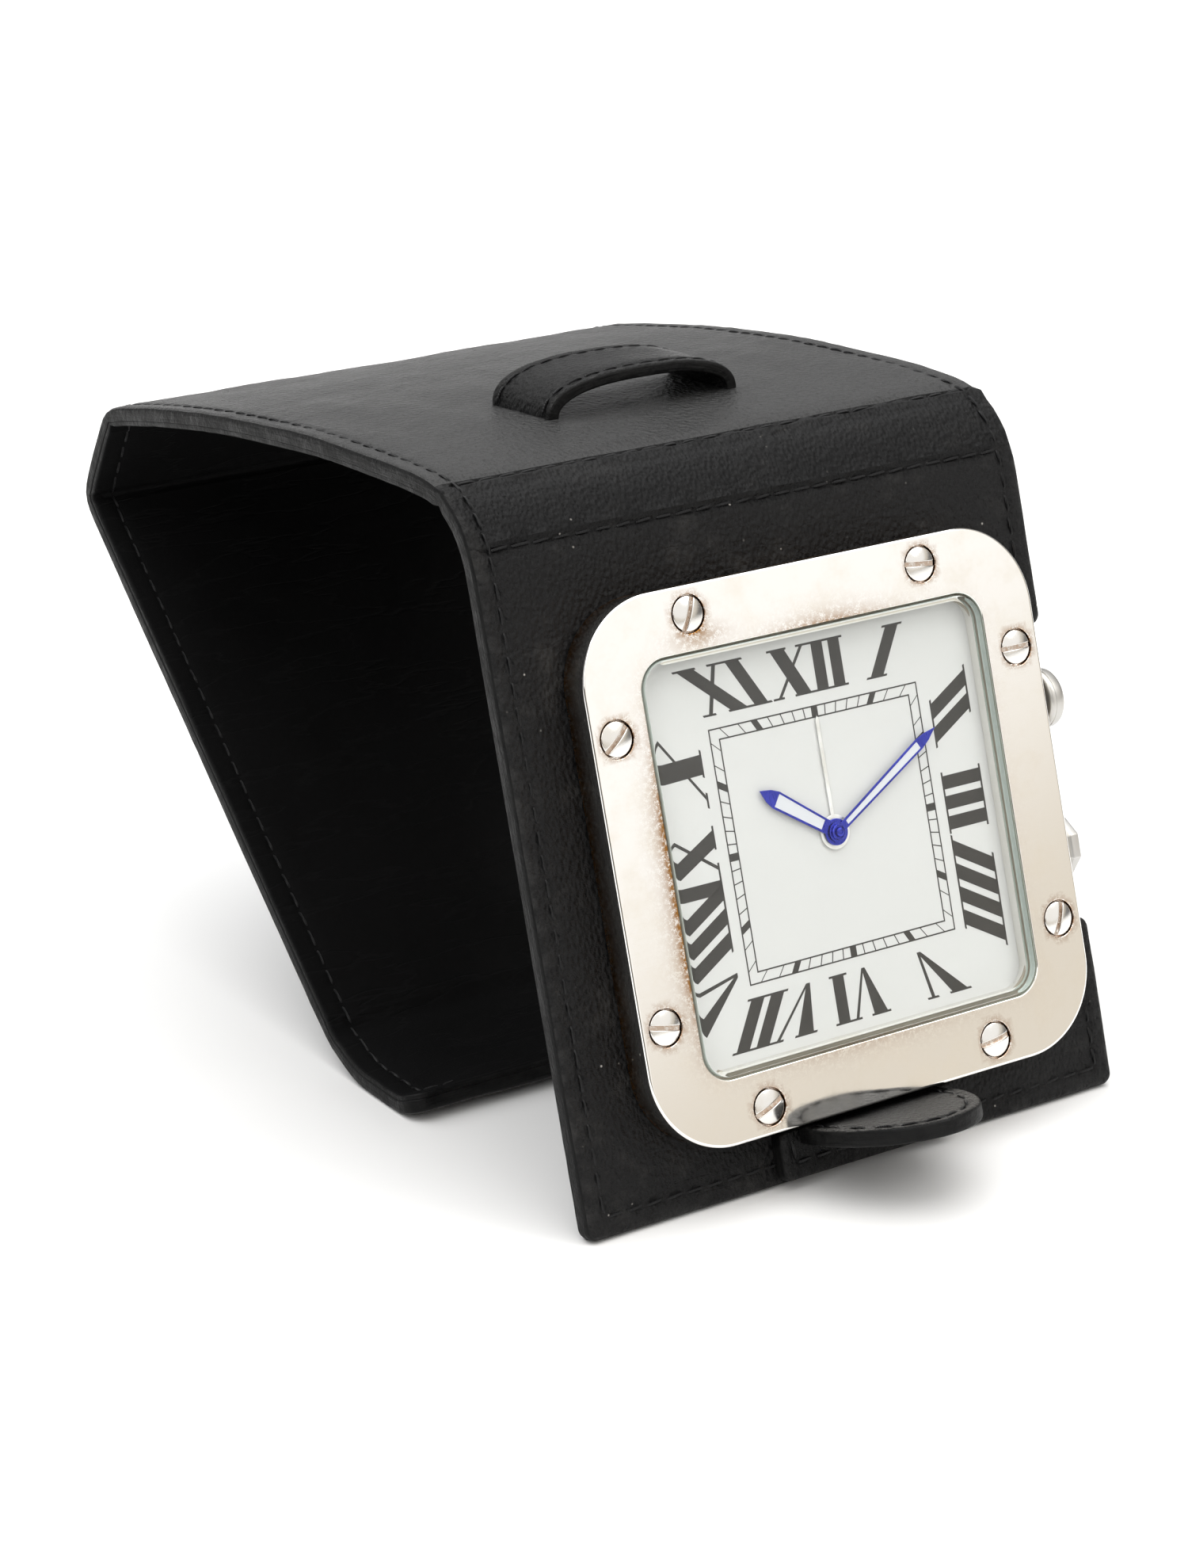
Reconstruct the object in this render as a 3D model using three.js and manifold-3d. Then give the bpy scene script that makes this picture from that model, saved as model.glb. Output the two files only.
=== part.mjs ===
// Travel alarm clock in a folding leather easel case.
//
// Every length is in millimetres. The clock and its case are laid out in the clock's own frame:
// X to the right, Y up along the dial, Z out of the dial towards the viewer, with the dial's
// centre on X = Y = 0 and the front face of the leather panel that holds the clock on Z = 0.
// One group then leans that frame back and sets the case down on the table.

import * as THREE from 'three';
import { mergeVertices } from 'three/addons/utils/BufferGeometryUtils.js';
import Module from 'manifold-3d';

const wasm = await Module();
wasm.setup();

// ---- Driving dimensions -------------------------------------------------------------------

const LEAN = THREE.MathUtils.degToRad(17);
const GAP = 0.3;

// Leather case, seen from its left end. Each fold is a corner of the case's outer face.
const CASE_LEFT = -47.3;
const CASE_RIGHT = 43.4;
const CASE_WIDTH = CASE_RIGHT - CASE_LEFT;
const CASE_MIDDLE = (CASE_RIGHT + CASE_LEFT) / 2;
const CASE_BOTTOM = -46.0;
const SKIN = 1.9;
const LINING = 0.8;
const BOARD = SKIN + GAP + LINING;
const CORNER_RADIUS = 1;
const NOTCH = { half: 21.3, depth: 6, radius: 2 };
const FOLD = {
  frontLow: new THREE.Vector2(48.4, 0),
  frontHigh: new THREE.Vector2(55.9, -4.7),
  rearHigh: new THREE.Vector2(73.7, -102),
  rearLow: new THREE.Vector2(61, -115.6),
  lip: new THREE.Vector2(-23.1, -65.6),
};
const PANEL_TOP = 47.2;
const LIP_TIP = new THREE.Vector2(-31.9, -42.4);
const TOP_BOW = 3.1;
const TOP_STATIONS = [0, 0.14, 0.28, 0.42, 0.58, 0.72, 0.86, 1];
const LIP_STATIONS = [0, 0.3, 0.78, 1];
const LIP_FLAT = { heel: 0.3, toe: 0.82 };

// Keeper loop on the top panel.
const KEEPER = { length: 32, depth: 15, height: 6.7, thickness: 1.7, fromFold: 19.5, foot: 3.4 };
const KEEPER_BEND = { rise: 2.2, run: 6 };

// Strap under the clock.
const STRAP = { halfWidth: 12, thickness: 2.4, top: -38.3, root: 2.6, reach: 21.7, roundFrom: 5.7 };
const STRAP_ROOT = { halfWidth: 15, low: CASE_BOTTOM + 0.6, high: STRAP.top - 0.4, front: 2.2 };
const STRAP_MIDDLE = -1.4;

// Clock head. CASE is the square body, BARREL its rear part, which passes through the panel.
const CASE_HALF = 37.5;
const CASE_ROUND = 12;
const BEZEL_FRONT = 5.8;
const BEZEL_BACK = 4;
const WINDOW_HALF = 28.6;
const WINDOW_ROUND = 4.2;
const CASE = { half: 37.3, round: 11.8, inner: 30.8, innerRound: 6.2, front: 3.9, back: 0.3 };
const BARREL = { half: 29.5, round: 8, wall: 1.4, back: -4.5 };
const BARREL_BORE = { half: BARREL.half - BARREL.wall, round: BARREL.round - BARREL.wall };
const WEB = { half: WINDOW_HALF + 3, thickness: 0.9 };
const CRYSTAL = { half: 28.3, round: 3.9, front: 6.1, back: 4.25 };
const GASKET = { outer: 30.4, inner: 27.95, round: 5, front: 3.9, back: 3.72 };
const SURROUND = { outer: 30.4, inner: 27.6, round: 5.2, innerRound: 3.2, front: 3.6, back: 2.65 };
const DIAL = { half: 29.6, front: 2.5, back: 2.0, hole: 2.1 };

const SCREW = { radius: 2.4, hole: 2.65, along: 33.66, offset: 19.45, slotWidth: 0.62, slotDepth: 0.5 };
const SCREW_FOOT = BEZEL_BACK + 0.5;
const SCREW_CROWN = 0.15;
const SCREW_TURN = [65, -6, 0, 68, 8, 22, -12, 40];

// Hands and motion work, all about the dial's centre except the minute wheel.
const HAND_THICKNESS = 0.18;
const HOUR_HAND = { length: 13.9, hub: 2.0, hole: 1.12, rootHalf: 1.0, tipHalf: 1.25, point: 2.95, z: 3.02 };
const MINUTE_HAND = { length: 21.8, hub: 1.6, hole: 0.62, rootHalf: 0.62, tipHalf: 0.85, point: 3.6, z: 3.36 };
const ALARM_HAND = { length: 16.2, hub: 2.4, hole: 1.62, halfWidth: 0.28, taper: 0.6, z: 2.68 };
const SLOT_RIM = 0.24;
const HOUR_ANGLE = THREE.MathUtils.degToRad(-305);
const MINUTE_ANGLE = THREE.MathUtils.degToRad(-60);
const WHEEL_DISTANCE = 6;
const TEETH = { cannon: 12, minuteWheel: 36, minutePinion: 10, hour: 40, alarm: 32 };
const CANNON = { bore: 0.22, radius: 0.55, back: -1.15, front: 3.62, gearFront: -0.55 };
const HOUR_TUBE = { bore: 0.7, radius: 1.05, back: -0.1, front: 3.28, gearBack: 0, gearFront: 0.4 };
const ALARM_TUBE = { bore: 1.2, radius: 1.55, back: 0.75, front: 2.94, gearBack: 0.9, gearFront: 1.3 };
const ALARM_MODULE = 0.36;
const MINUTE_WHEEL = { back: -1.15, front: -0.6, pinionBack: -0.7, pinionFront: 0.55, bore: 0.4 };

// Movement, behind the motion work.
const PLATE = { half: 22, round: 3, back: -2.3, front: -1.5, post: 0.3, postFront: 0.6 };
const BOARD_PLATE = { halfX: 12.5, halfY: 7, round: 1, x: -8, y: -13, back: -3.15, front: -2.6 };
const COIL = { y: 11.1, z: -3.35, radius: 0.95, from: 4.5, to: 17.5, core: 9, coreHalf: 0.7, coreDepth: 0.25 };
const BUZZER = { x: -11, y: 10, radius: 6.5, back: -4.05, front: -3.75 };
const CELL = { x: 12, y: -9, radius: 4.75, back: -4.4, front: -2.6 };
const CONTACT = { x: 17.7, y: -9, halfX: 0.4, halfY: 4, back: -4.2, front: -2.6 };
const HOLDER = { half: 27.7, round: 5, inner: 24, innerRound: 4, back: 1.35, front: 1.85 };

// Back of the clock.
const COVER = { back: -5.7, front: BARREL.back - GAP / 2, screw: 1.25, screwHole: 1.5, screwAt: 23 };
const HATCH = { x: CELL.x, y: CELL.y, radius: 6.2, play: 0.25 };
const COIN_SLOT = { half: 4.5, width: 1.2, depth: 0.5 };
const DRIVER_SLOT = { half: 3, width: 0.5, depth: 0.3 };
const CLAMP = { outer: 32.7, outerRound: 10, inner: 29.8, thickness: 0.8 };

// Controls on the right-hand side.
const KNOB_RADIUS = 4.3;
const BUTTON = { y: 11, from: 38.7, to: 41.6 };
const CROWN = { y: -10.2, from: 38.1, to: 40.6, sides: 8 };
const STEM = { radius: 0.5, play: 0.1, innerEnd: 22.6, boreEnd: 42.6 };
const CONTROL_Z = 1.1;

// A cutting tool runs this far past the piece that it cuts.
const PAST = 1;

// ---- Materials ----------------------------------------------------------------------------

function material(color, roughness, metalness) {
  return new THREE.MeshStandardMaterial({ color, roughness, metalness });
}

const COLORS = {
  leather: 0x1a1a1b,
  lining: 0x111112,
  steel: 0xd9d4cb,
  darkSteel: 0x8c8a86,
  dial: 0xecece9,
  blue: 0x3a3fae,
  silver: 0xdedbd4,
  brass: 0xc2a463,
  plastic: 0x24272b,
  board: 0x2b6a4a,
  copper: 0xb06c3a,
  glass: 0xdfe8e6,
  rubber: 0x151515,
};

// ---- Small geometry helpers ---------------------------------------------------------------

function toSolid(geometry) {
  const bare = geometry.clone();
  bare.deleteAttribute('normal');
  bare.deleteAttribute('uv');
  const merged = mergeVertices(bare, 1e-4);
  return new wasm.Manifold(new wasm.Mesh({
    numProp: 3,
    vertProperties: new Float32Array(merged.attributes.position.array),
    triVerts: new Uint32Array(merged.index.array),
  }));
}

function toGeometry(solid) {
  const mesh = solid.getMesh();
  const geometry = new THREE.BufferGeometry();
  geometry.setAttribute('position', new THREE.BufferAttribute(mesh.vertProperties, 3));
  geometry.setIndex(new THREE.BufferAttribute(mesh.triVerts, 1));
  geometry.computeVertexNormals();
  return geometry;
}

function cut(base, ...tools) {
  let solid = toSolid(base);
  for (const tool of tools) {
    solid = solid.subtract(toSolid(tool));
  }
  return toGeometry(solid);
}

function join(base, ...others) {
  let solid = toSolid(base);
  for (const other of others) {
    solid = solid.add(toSolid(other));
  }
  return toGeometry(solid);
}

function roundedBox(halfX, halfY, radius, centreX = 0, centreY = 0) {
  const shape = new THREE.Shape();
  const [left, right] = [centreX - halfX, centreX + halfX];
  const [low, high] = [centreY - halfY, centreY + halfY];
  shape.moveTo(left + radius, low);
  shape.lineTo(right - radius, low);
  shape.absarc(right - radius, low + radius, radius, -Math.PI / 2, 0, false);
  shape.lineTo(right, high - radius);
  shape.absarc(right - radius, high - radius, radius, 0, Math.PI / 2, false);
  shape.lineTo(left + radius, high);
  shape.absarc(left + radius, high - radius, radius, Math.PI / 2, Math.PI, false);
  shape.lineTo(left, low + radius);
  shape.absarc(left + radius, low + radius, radius, Math.PI, Math.PI * 1.5, false);
  return shape;
}

function square(half, radius) {
  return roundedBox(half, half, radius);
}

function circle(radius, x = 0, y = 0) {
  const shape = new THREE.Shape();
  shape.absarc(x, y, radius, 0, Math.PI * 2, false);
  return shape;
}

function plate(shape, back, front, curveSegments = 6) {
  const options = { depth: front - back, bevelEnabled: false, curveSegments };
  return new THREE.ExtrudeGeometry(shape, options).translate(0, 0, back);
}

function framePlate(outer, inner, back, front, curveSegments = 6) {
  outer.holes.push(inner);
  return plate(outer, back, front, curveSegments);
}

function box(x0, x1, y0, y1, z0, z1) {
  const geometry = new THREE.BoxGeometry(x1 - x0, y1 - y0, z1 - z0);
  return geometry.translate((x0 + x1) / 2, (y0 + y1) / 2, (z0 + z1) / 2);
}

// A turned piece: the profile is a closed list of [radius, height] pairs, turned about Z.
function turned(profile, segments = 24) {
  const points = profile.map(([radius, height]) => new THREE.Vector2(radius, height));
  return new THREE.LatheGeometry(points, segments).rotateX(Math.PI / 2);
}

function disc(radius, back, front, segments = 24) {
  return turned([[0, back], [radius, back], [radius, front], [0, front]], segments);
}

function tube(inner, outer, back, front, segments = 24) {
  const profile = [[inner, back], [outer, back], [outer, front], [inner, front], [inner, back]];
  return turned(profile, segments);
}

// A strip of leather seen end on, extruded across the case's width. The outer face is a chord
// along the strip, bowed outwards by bow(s), and the strip lies between two depths below it.
function strip(from, to, depthOut, depthIn, bow, shares) {
  const outline = new THREE.Shape();
  const stations = shares.map((share) => from + (to - from) * share);
  stations.forEach((s, i) => {
    const height = bow(s) - depthOut;
    if (i === 0) {
      outline.moveTo(s, height);
    } else {
      outline.lineTo(s, height);
    }
  });
  stations.reverse().forEach((s) => outline.lineTo(s, bow(s) - depthIn));
  outline.closePath();
  const geometry = new THREE.ExtrudeGeometry(outline, { depth: CASE_WIDTH, bevelEnabled: false });
  const toStrip = new THREE.Matrix4().makeBasis(
    new THREE.Vector3(0, 1, 0),
    new THREE.Vector3(0, 0, 1),
    new THREE.Vector3(1, 0, 0),
  );
  return geometry.applyMatrix4(toStrip).translate(CASE_LEFT, 0, 0);
}

// A spur gear outline. The flanks are involutes of the base circle, thinned for running play.
function gearShape(teeth, moduleSize, play = 0.16) {
  const pressure = THREE.MathUtils.degToRad(20);
  const pitch = (teeth * moduleSize) / 2;
  const base = pitch * Math.cos(pressure);
  const tip = pitch + 0.85 * moduleSize;
  const root = pitch - 1.15 * moduleSize;
  const involute = (angle) => Math.tan(angle) - angle;
  const halfTooth = (Math.PI / 2 / teeth) * (1 - play) + involute(pressure);
  const halfAt = (radius) => halfTooth - involute(Math.acos(Math.min(1, base / Math.max(radius, base))));
  const flank = [root, Math.max(base, root) + 0.01, pitch, tip];
  const shape = new THREE.Shape();
  for (let tooth = 0; tooth < teeth; tooth += 1) {
    const middle = (tooth / teeth) * Math.PI * 2;
    const rising = flank.map((radius) => [radius, middle - halfAt(radius)]);
    const falling = flank.map((radius) => [radius, middle + halfAt(radius)]).reverse();
    [...rising, ...falling].forEach(([radius, angle], i) => {
      const point = [radius * Math.cos(angle), radius * Math.sin(angle)];
      if (tooth === 0 && i === 0) {
        shape.moveTo(...point);
      } else {
        shape.lineTo(...point);
      }
    });
  }
  shape.closePath();
  return shape;
}

function gear(teeth, moduleSize, back, front, phase = 0) {
  return plate(gearShape(teeth, moduleSize), back, front).rotateZ(phase);
}

// ---- Assembly helpers ---------------------------------------------------------------------

const clock = new THREE.Group();

function add(name, geometry, finish, parent = clock) {
  const mesh = new THREE.Mesh(geometry, finish);
  mesh.name = name;
  parent.add(mesh);
  return mesh;
}

// ---- Leather case -------------------------------------------------------------------------

// The front panel's outline at a thickness of 1, with the knob notch and the barrel's opening.
function panelOutline(low, grow, opening) {
  const outline = roundedBox(CASE_WIDTH / 2, (PANEL_TOP - low) / 2, CORNER_RADIUS);
  const notch = roundedBox(NOTCH.depth + grow, NOTCH.half + grow, NOTCH.radius, CASE_RIGHT, 0);
  const hole = square(opening, BARREL.round);
  const board = plate(outline, 0, 1).translate(CASE_MIDDLE, (PANEL_TOP + low) / 2, 0);
  return cut(board, plate(notch, -PAST, 1 + PAST), plate(hole, -PAST, 1 + PAST));
}

function frontPanel() {
  const opening = BARREL.half + GAP * 2;
  const leather = panelOutline(CASE_BOTTOM, 0, opening).scale(1, 1, SKIN).translate(0, 0, -SKIN);
  add('front_panel_leather', leather, material(COLORS.leather, 0.55, 0));
  const lining = panelOutline(CASE_BOTTOM + GAP, GAP, opening).scale(1, 1, LINING);
  lining.translate(0, 0, -BOARD);
  add('front_panel_lining', lining, material(COLORS.lining, 0.95, 0));
}

// Each further panel runs from one fold to the next. startGap and endGap leave room for the
// leather of the fold itself, which is thinner than the boards beside it.
function casePanel(name, start, end, startGap, endGap, bow = () => 0, shares = [0, 1]) {
  const along = end.clone().sub(start);
  const length = along.length();
  const group = new THREE.Group();
  group.position.set(0, start.x, start.y);
  group.rotation.x = Math.atan2(along.y, along.x);
  clock.add(group);
  const shape = (s) => bow(s / length);
  const skin = strip(startGap, length - endGap, 0, SKIN, shape, shares);
  add(`${name}_leather`, skin, material(COLORS.leather, 0.55, 0), group);
  const inset = BOARD - LINING;
  const lining = strip(startGap + GAP, length - endGap - GAP, inset, BOARD, shape, shares);
  add(`${name}_lining`, lining, material(COLORS.lining, 0.95, 0), group);
  return group;
}

// The keeper is a band that stands on the top panel as a low arch.
function keeperLoop(topPanel, topLength) {
  const { length, depth, height, thickness, fromFold, foot } = KEEPER;
  const { rise, run } = KEEPER_BEND;
  const half = length / 2;
  const innerHalf = half - thickness;
  const innerHeight = height - thickness;
  const outline = new THREE.Shape();
  outline.moveTo(-half, 0);
  outline.lineTo(-half, rise);
  outline.quadraticCurveTo(-half, height, run - half, height);
  outline.lineTo(half - run, height);
  outline.quadraticCurveTo(half, height, half, rise);
  outline.lineTo(half, 0);
  outline.lineTo(half - foot, 0);
  outline.lineTo(innerHalf, rise);
  outline.quadraticCurveTo(innerHalf, innerHeight, half - run, innerHeight);
  outline.lineTo(run - half, innerHeight);
  outline.quadraticCurveTo(-innerHalf, innerHeight, -innerHalf, rise);
  outline.lineTo(foot - half, 0);
  outline.closePath();
  const loop = new THREE.ExtrudeGeometry(outline, { depth, bevelEnabled: false, curveSegments: 6 });
  loop.rotateX(Math.PI / 2);
  loop.translate(CASE_MIDDLE, fromFold + depth, 0);
  const middle = (fromFold + depth / 2) / topLength;
  const seat = new THREE.Group();
  seat.position.set(0, 0, topBow(middle) + GAP);
  topPanel.add(seat);
  const slope = (TOP_BOW * 4 * (1 - 2 * middle)) / topLength;
  const pivot = fromFold + depth / 2;
  loop.translate(0, -pivot, 0).rotateX(Math.atan(slope)).translate(0, pivot, 0);
  add('keeper_loop', loop, material(COLORS.leather, 0.5, 0), seat);
}

function topBow(t) {
  return TOP_BOW * 4 * t * (1 - t);
}

// Height of a point of the side view above the table, where the front panel's lower edge rests.
function heightAboveTable(point) {
  const height = (y, z) => y * Math.cos(LEAN) + z * Math.sin(LEAN);
  return height(point.x, point.y) - height(CASE_BOTTOM + GAP, -BOARD);
}

// The lip bends down from its fold, lies flat on the table, and lifts a little at its free edge.
function lipBow(t) {
  const { heel, toe } = LIP_FLAT;
  const [foldHeight, tipHeight] = [heightAboveTable(FOLD.lip), heightAboveTable(LIP_TIP)];
  const slope = Math.asin((foldHeight - tipHeight) / FOLD.lip.distanceTo(LIP_TIP));
  const rest = (share) => THREE.MathUtils.lerp(foldHeight, tipHeight, share) / Math.cos(slope);
  if (t < heel) {
    return (rest(heel) * t) / heel;
  }
  return t > toe ? (rest(toe) * (1 - t)) / (1 - toe) : rest(t);
}

function strap() {
  const { halfWidth, thickness, top, root, reach, roundFrom } = STRAP;
  const tongue = new THREE.Shape();
  tongue.moveTo(-halfWidth, root);
  tongue.lineTo(halfWidth, root);
  tongue.lineTo(halfWidth, roundFrom);
  tongue.absellipse(0, roundFrom, halfWidth, reach - roundFrom, 0, Math.PI, false);
  tongue.closePath();
  const blade = plate(tongue, 0, thickness, 12).rotateX(Math.PI / 2).translate(STRAP_MIDDLE, top, 0);
  add('strap_tongue', blade, material(COLORS.leather, 0.5, 0));
  const { halfWidth: half, low, high, front } = STRAP_ROOT;
  const sewn = box(-half, half, low, high, GAP, front).translate(STRAP_MIDDLE, 0, 0);
  add('strap_root', sewn, material(COLORS.leather, 0.5, 0));
}

function leatherCase() {
  frontPanel();
  casePanel('front_fold', FOLD.frontLow, FOLD.frontHigh, 1.2, 1.75);
  const top = casePanel('top_panel', FOLD.frontHigh, FOLD.rearHigh, 1.9, 1.9, topBow, TOP_STATIONS);
  keeperLoop(top, FOLD.frontHigh.distanceTo(FOLD.rearHigh));
  casePanel('rear_fold', FOLD.rearHigh, FOLD.rearLow, 1.9, 3.2);
  casePanel('rear_panel', FOLD.rearLow, FOLD.lip, 3.2, 2.8);
  casePanel('lip', FOLD.lip, LIP_TIP, 2.8, 0, lipBow, LIP_STATIONS);
  strap();
}

// ---- Clock head ---------------------------------------------------------------------------

function screwPlaces() {
  const { along, offset } = SCREW;
  return [
    [-offset, along], [offset, along], [along, offset], [along, -offset],
    [offset, -along], [-offset, -along], [-along, -offset], [-along, offset],
  ];
}

function bezelScrew(turn) {
  const { radius, slotWidth, slotDepth } = SCREW;
  const top = BEZEL_FRONT + SCREW_CROWN;
  const profile = [
    [0, SCREW_FOOT], [radius, SCREW_FOOT], [radius, top - 0.32],
    [radius * 0.8, top - 0.1], [radius * 0.45, top], [0, top],
  ];
  const reach = radius + PAST;
  const slot = box(-reach, reach, -slotWidth / 2, slotWidth / 2, top - slotDepth, top + PAST);
  return cut(turned(profile, 16), slot).rotateZ(THREE.MathUtils.degToRad(turn));
}

function stemBores() {
  const radius = STEM.radius + STEM.play;
  return [BUTTON.y, CROWN.y].map((y) => disc(radius, STEM.innerEnd, STEM.boreEnd, 16)
    .rotateY(Math.PI / 2).translate(0, y, CONTROL_Z));
}

function squareRing({ outer, round, inner, innerRound = round, back, front }, curveSegments = 6) {
  return framePlate(square(outer, round), square(inner, innerRound), back, front, curveSegments);
}

function bezel() {
  const window = square(WINDOW_HALF, WINDOW_ROUND);
  const ring = framePlate(square(CASE_HALF, CASE_ROUND), window, BEZEL_BACK, BEZEL_FRONT, 8);
  const pockets = screwPlaces().map(([x, y]) => disc(SCREW.hole, BEZEL_BACK + GAP, BEZEL_FRONT + PAST, 16)
    .translate(x, y, 0));
  add('bezel', cut(ring, ...pockets), material(COLORS.steel, 0.18, 1));
  screwPlaces().forEach(([x, y], i) => {
    const screw = add(`bezel_screw_${i + 1}`, bezelScrew(SCREW_TURN[i]), material(COLORS.steel, 0.25, 1));
    screw.position.set(x, y, 0);
  });
}

function caseBody() {
  const shell = squareRing({ ...CASE, outer: CASE.half }, 8);
  const webFront = CASE.back + WEB.thickness;
  const barrel = framePlate(square(BARREL.half, BARREL.round), square(BARREL_BORE.half, BARREL_BORE.round),
    BARREL.back, webFront);
  const web = framePlate(square(WEB.half, CASE.innerRound), square(BARREL_BORE.half, BARREL_BORE.round),
    CASE.back, webFront);
  add('case_body', cut(join(shell, barrel, web), ...stemBores()), material(COLORS.steel, 0.18, 1));
}

function crystalAndSurround() {
  const pane = plate(square(CRYSTAL.half, CRYSTAL.round), CRYSTAL.back, CRYSTAL.front);
  add('crystal', pane, material(COLORS.glass, 0.03, 0));
  add('crystal_gasket', squareRing(GASKET), material(COLORS.rubber, 0.8, 0));
  add('dial_surround', squareRing(SURROUND), material(COLORS.steel, 0.18, 1));
}

// A sword hand pointing up: a round hub with a hole, a tapering blade with an open slot for the
// light filling, and a solid arrow point.
function swordHand({ length, hub, hole, rootHalf, tipHalf, point }) {
  const shoulder = length - point;
  const waist = tipHalf * 0.72;
  const waistAt = shoulder + point * 0.45;
  const start = Math.asin(rootHalf / hub);
  const outline = new THREE.Shape();
  outline.absarc(0, 0, hub, Math.PI / 2 + start, Math.PI / 2 - start + Math.PI * 2, false);
  outline.lineTo(tipHalf, shoulder);
  outline.lineTo(waist, waistAt);
  outline.lineTo(0, length);
  outline.lineTo(-waist, waistAt);
  outline.lineTo(-tipHalf, shoulder);
  outline.closePath();
  const slotStart = hub + 2 * SLOT_RIM;
  const slotEnd = shoulder - SLOT_RIM / 2;
  const slot = new THREE.Path();
  slot.moveTo(SLOT_RIM - rootHalf, slotStart);
  slot.lineTo(rootHalf - SLOT_RIM, slotStart);
  slot.lineTo(tipHalf - SLOT_RIM, slotEnd);
  slot.lineTo(SLOT_RIM - tipHalf, slotEnd);
  slot.closePath();
  outline.holes.push(slot, circle(hole));
  return outline;
}

function alarmHandShape({ length, hub, hole, halfWidth, taper }) {
  const start = Math.asin(halfWidth / hub);
  const outline = new THREE.Shape();
  outline.absarc(0, 0, hub, Math.PI / 2 + start, Math.PI / 2 - start + Math.PI * 2, false);
  outline.lineTo(halfWidth, length - taper);
  outline.lineTo(0, length);
  outline.lineTo(-halfWidth, length - taper);
  outline.holes.push(circle(hole));
  return outline;
}

function hand(name, shape, z, angle, finish) {
  add(name, plate(shape, z, z + HAND_THICKNESS, 10).rotateZ(angle), finish);
}

function dialAndHands() {
  const dialPlate = framePlate(square(DIAL.half, WINDOW_ROUND), circle(DIAL.hole), DIAL.back, DIAL.front, 8);
  add('dial', dialPlate, material(COLORS.dial, 0.5, 0));
  hand('alarm_hand', alarmHandShape(ALARM_HAND), ALARM_HAND.z, 0, material(COLORS.silver, 0.25, 1));
  hand('hour_hand', swordHand(HOUR_HAND), HOUR_HAND.z, HOUR_ANGLE, material(COLORS.blue, 0.3, 0.6));
  hand('minute_hand', swordHand(MINUTE_HAND), MINUTE_HAND.z, MINUTE_ANGLE, material(COLORS.blue, 0.3, 0.6));
  const cap = turned([[0, 3.7], [1.15, 3.7], [1.15, 3.95], [0.75, 4.12], [0, 4.12]]);
  add('hand_cap', cap, material(COLORS.blue, 0.3, 0.6));
}

// A tube with a gear on it. The bore runs right through both.
function wheelOnTube({ bore, radius, back, front, gearBack = back, gearFront }, teeth, moduleSize) {
  const pipe = tube(bore, radius, back, front, 20);
  const hole = disc((bore + radius) / 2, gearBack - PAST, gearFront + PAST, 20);
  return join(pipe, cut(gear(teeth, moduleSize, gearBack, gearFront), hole));
}

function motionWork() {
  const brass = () => material(COLORS.brass, 0.35, 1);
  const cannonModule = (2 * WHEEL_DISTANCE) / (TEETH.cannon + TEETH.minuteWheel);
  const hourModule = (2 * WHEEL_DISTANCE) / (TEETH.minutePinion + TEETH.hour);
  add('cannon_pinion', wheelOnTube(CANNON, TEETH.cannon, cannonModule), brass());
  add('hour_wheel', wheelOnTube(HOUR_TUBE, TEETH.hour, hourModule), brass());
  add('alarm_wheel', wheelOnTube(ALARM_TUBE, TEETH.alarm, ALARM_MODULE), brass());

  const { back, front, pinionBack, pinionFront, bore } = MINUTE_WHEEL;
  const wheel = gear(TEETH.minuteWheel, cannonModule, back, front, Math.PI / TEETH.minuteWheel);
  const pinionPhase = Math.PI / TEETH.minutePinion;
  const pinion = gear(TEETH.minutePinion, hourModule, pinionBack, pinionFront, pinionPhase);
  const pivotHole = disc(bore, back - PAST, pinionFront + PAST, 16);
  const minuteWheel = add('minute_wheel', cut(join(wheel, pinion), pivotHole), brass());
  minuteWheel.position.set(WHEEL_DISTANCE, 0, 0);
}

function movement() {
  const mainPlate = plate(square(PLATE.half, PLATE.round), PLATE.back, PLATE.front);
  const middle = (PLATE.back + PLATE.front) / 2;
  const post = disc(PLATE.post, middle, PLATE.postFront, 16).translate(WHEEL_DISTANCE, 0, 0);
  add('movement_plate', join(mainPlate, post), material(COLORS.plastic, 0.5, 0));
  const { halfX: boardX, halfY: boardY, round: boardRound } = BOARD_PLATE;
  const board = roundedBox(boardX, boardY, boardRound, BOARD_PLATE.x, BOARD_PLATE.y);
  add('circuit_board', plate(board, BOARD_PLATE.back, BOARD_PLATE.front), material(COLORS.board, 0.5, 0));
  const core = box(-COIL.core, COIL.core, -COIL.coreHalf, COIL.coreHalf, -COIL.coreDepth, COIL.coreDepth);
  core.translate((COIL.from + COIL.to) / 2, COIL.y, COIL.z);
  const winding = disc(COIL.radius, COIL.from, COIL.to, 20).rotateY(Math.PI / 2).translate(0, COIL.y, COIL.z);
  add('stepper_coil', join(core, winding), material(COLORS.copper, 0.4, 0.8));
  const buzzer = disc(BUZZER.radius, BUZZER.back, BUZZER.front).translate(BUZZER.x, BUZZER.y, 0);
  add('buzzer_disc', buzzer, material(COLORS.brass, 0.3, 1));
  const cell = disc(CELL.radius, CELL.back, CELL.front).translate(CELL.x, CELL.y, 0);
  add('battery_cell', cell, material(COLORS.silver, 0.25, 1));
  const { x, y, halfX, halfY, back, front } = CONTACT;
  const contact = box(-halfX, halfX, -halfY, halfY, back, front).translate(x, y, 0);
  add('battery_contact', contact, material(COLORS.brass, 0.4, 1));
  const holder = squareRing({ ...HOLDER, outer: HOLDER.half });
  add('dial_holder', cut(holder, ...stemBores()), material(COLORS.plastic, 0.5, 0));
}

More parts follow.
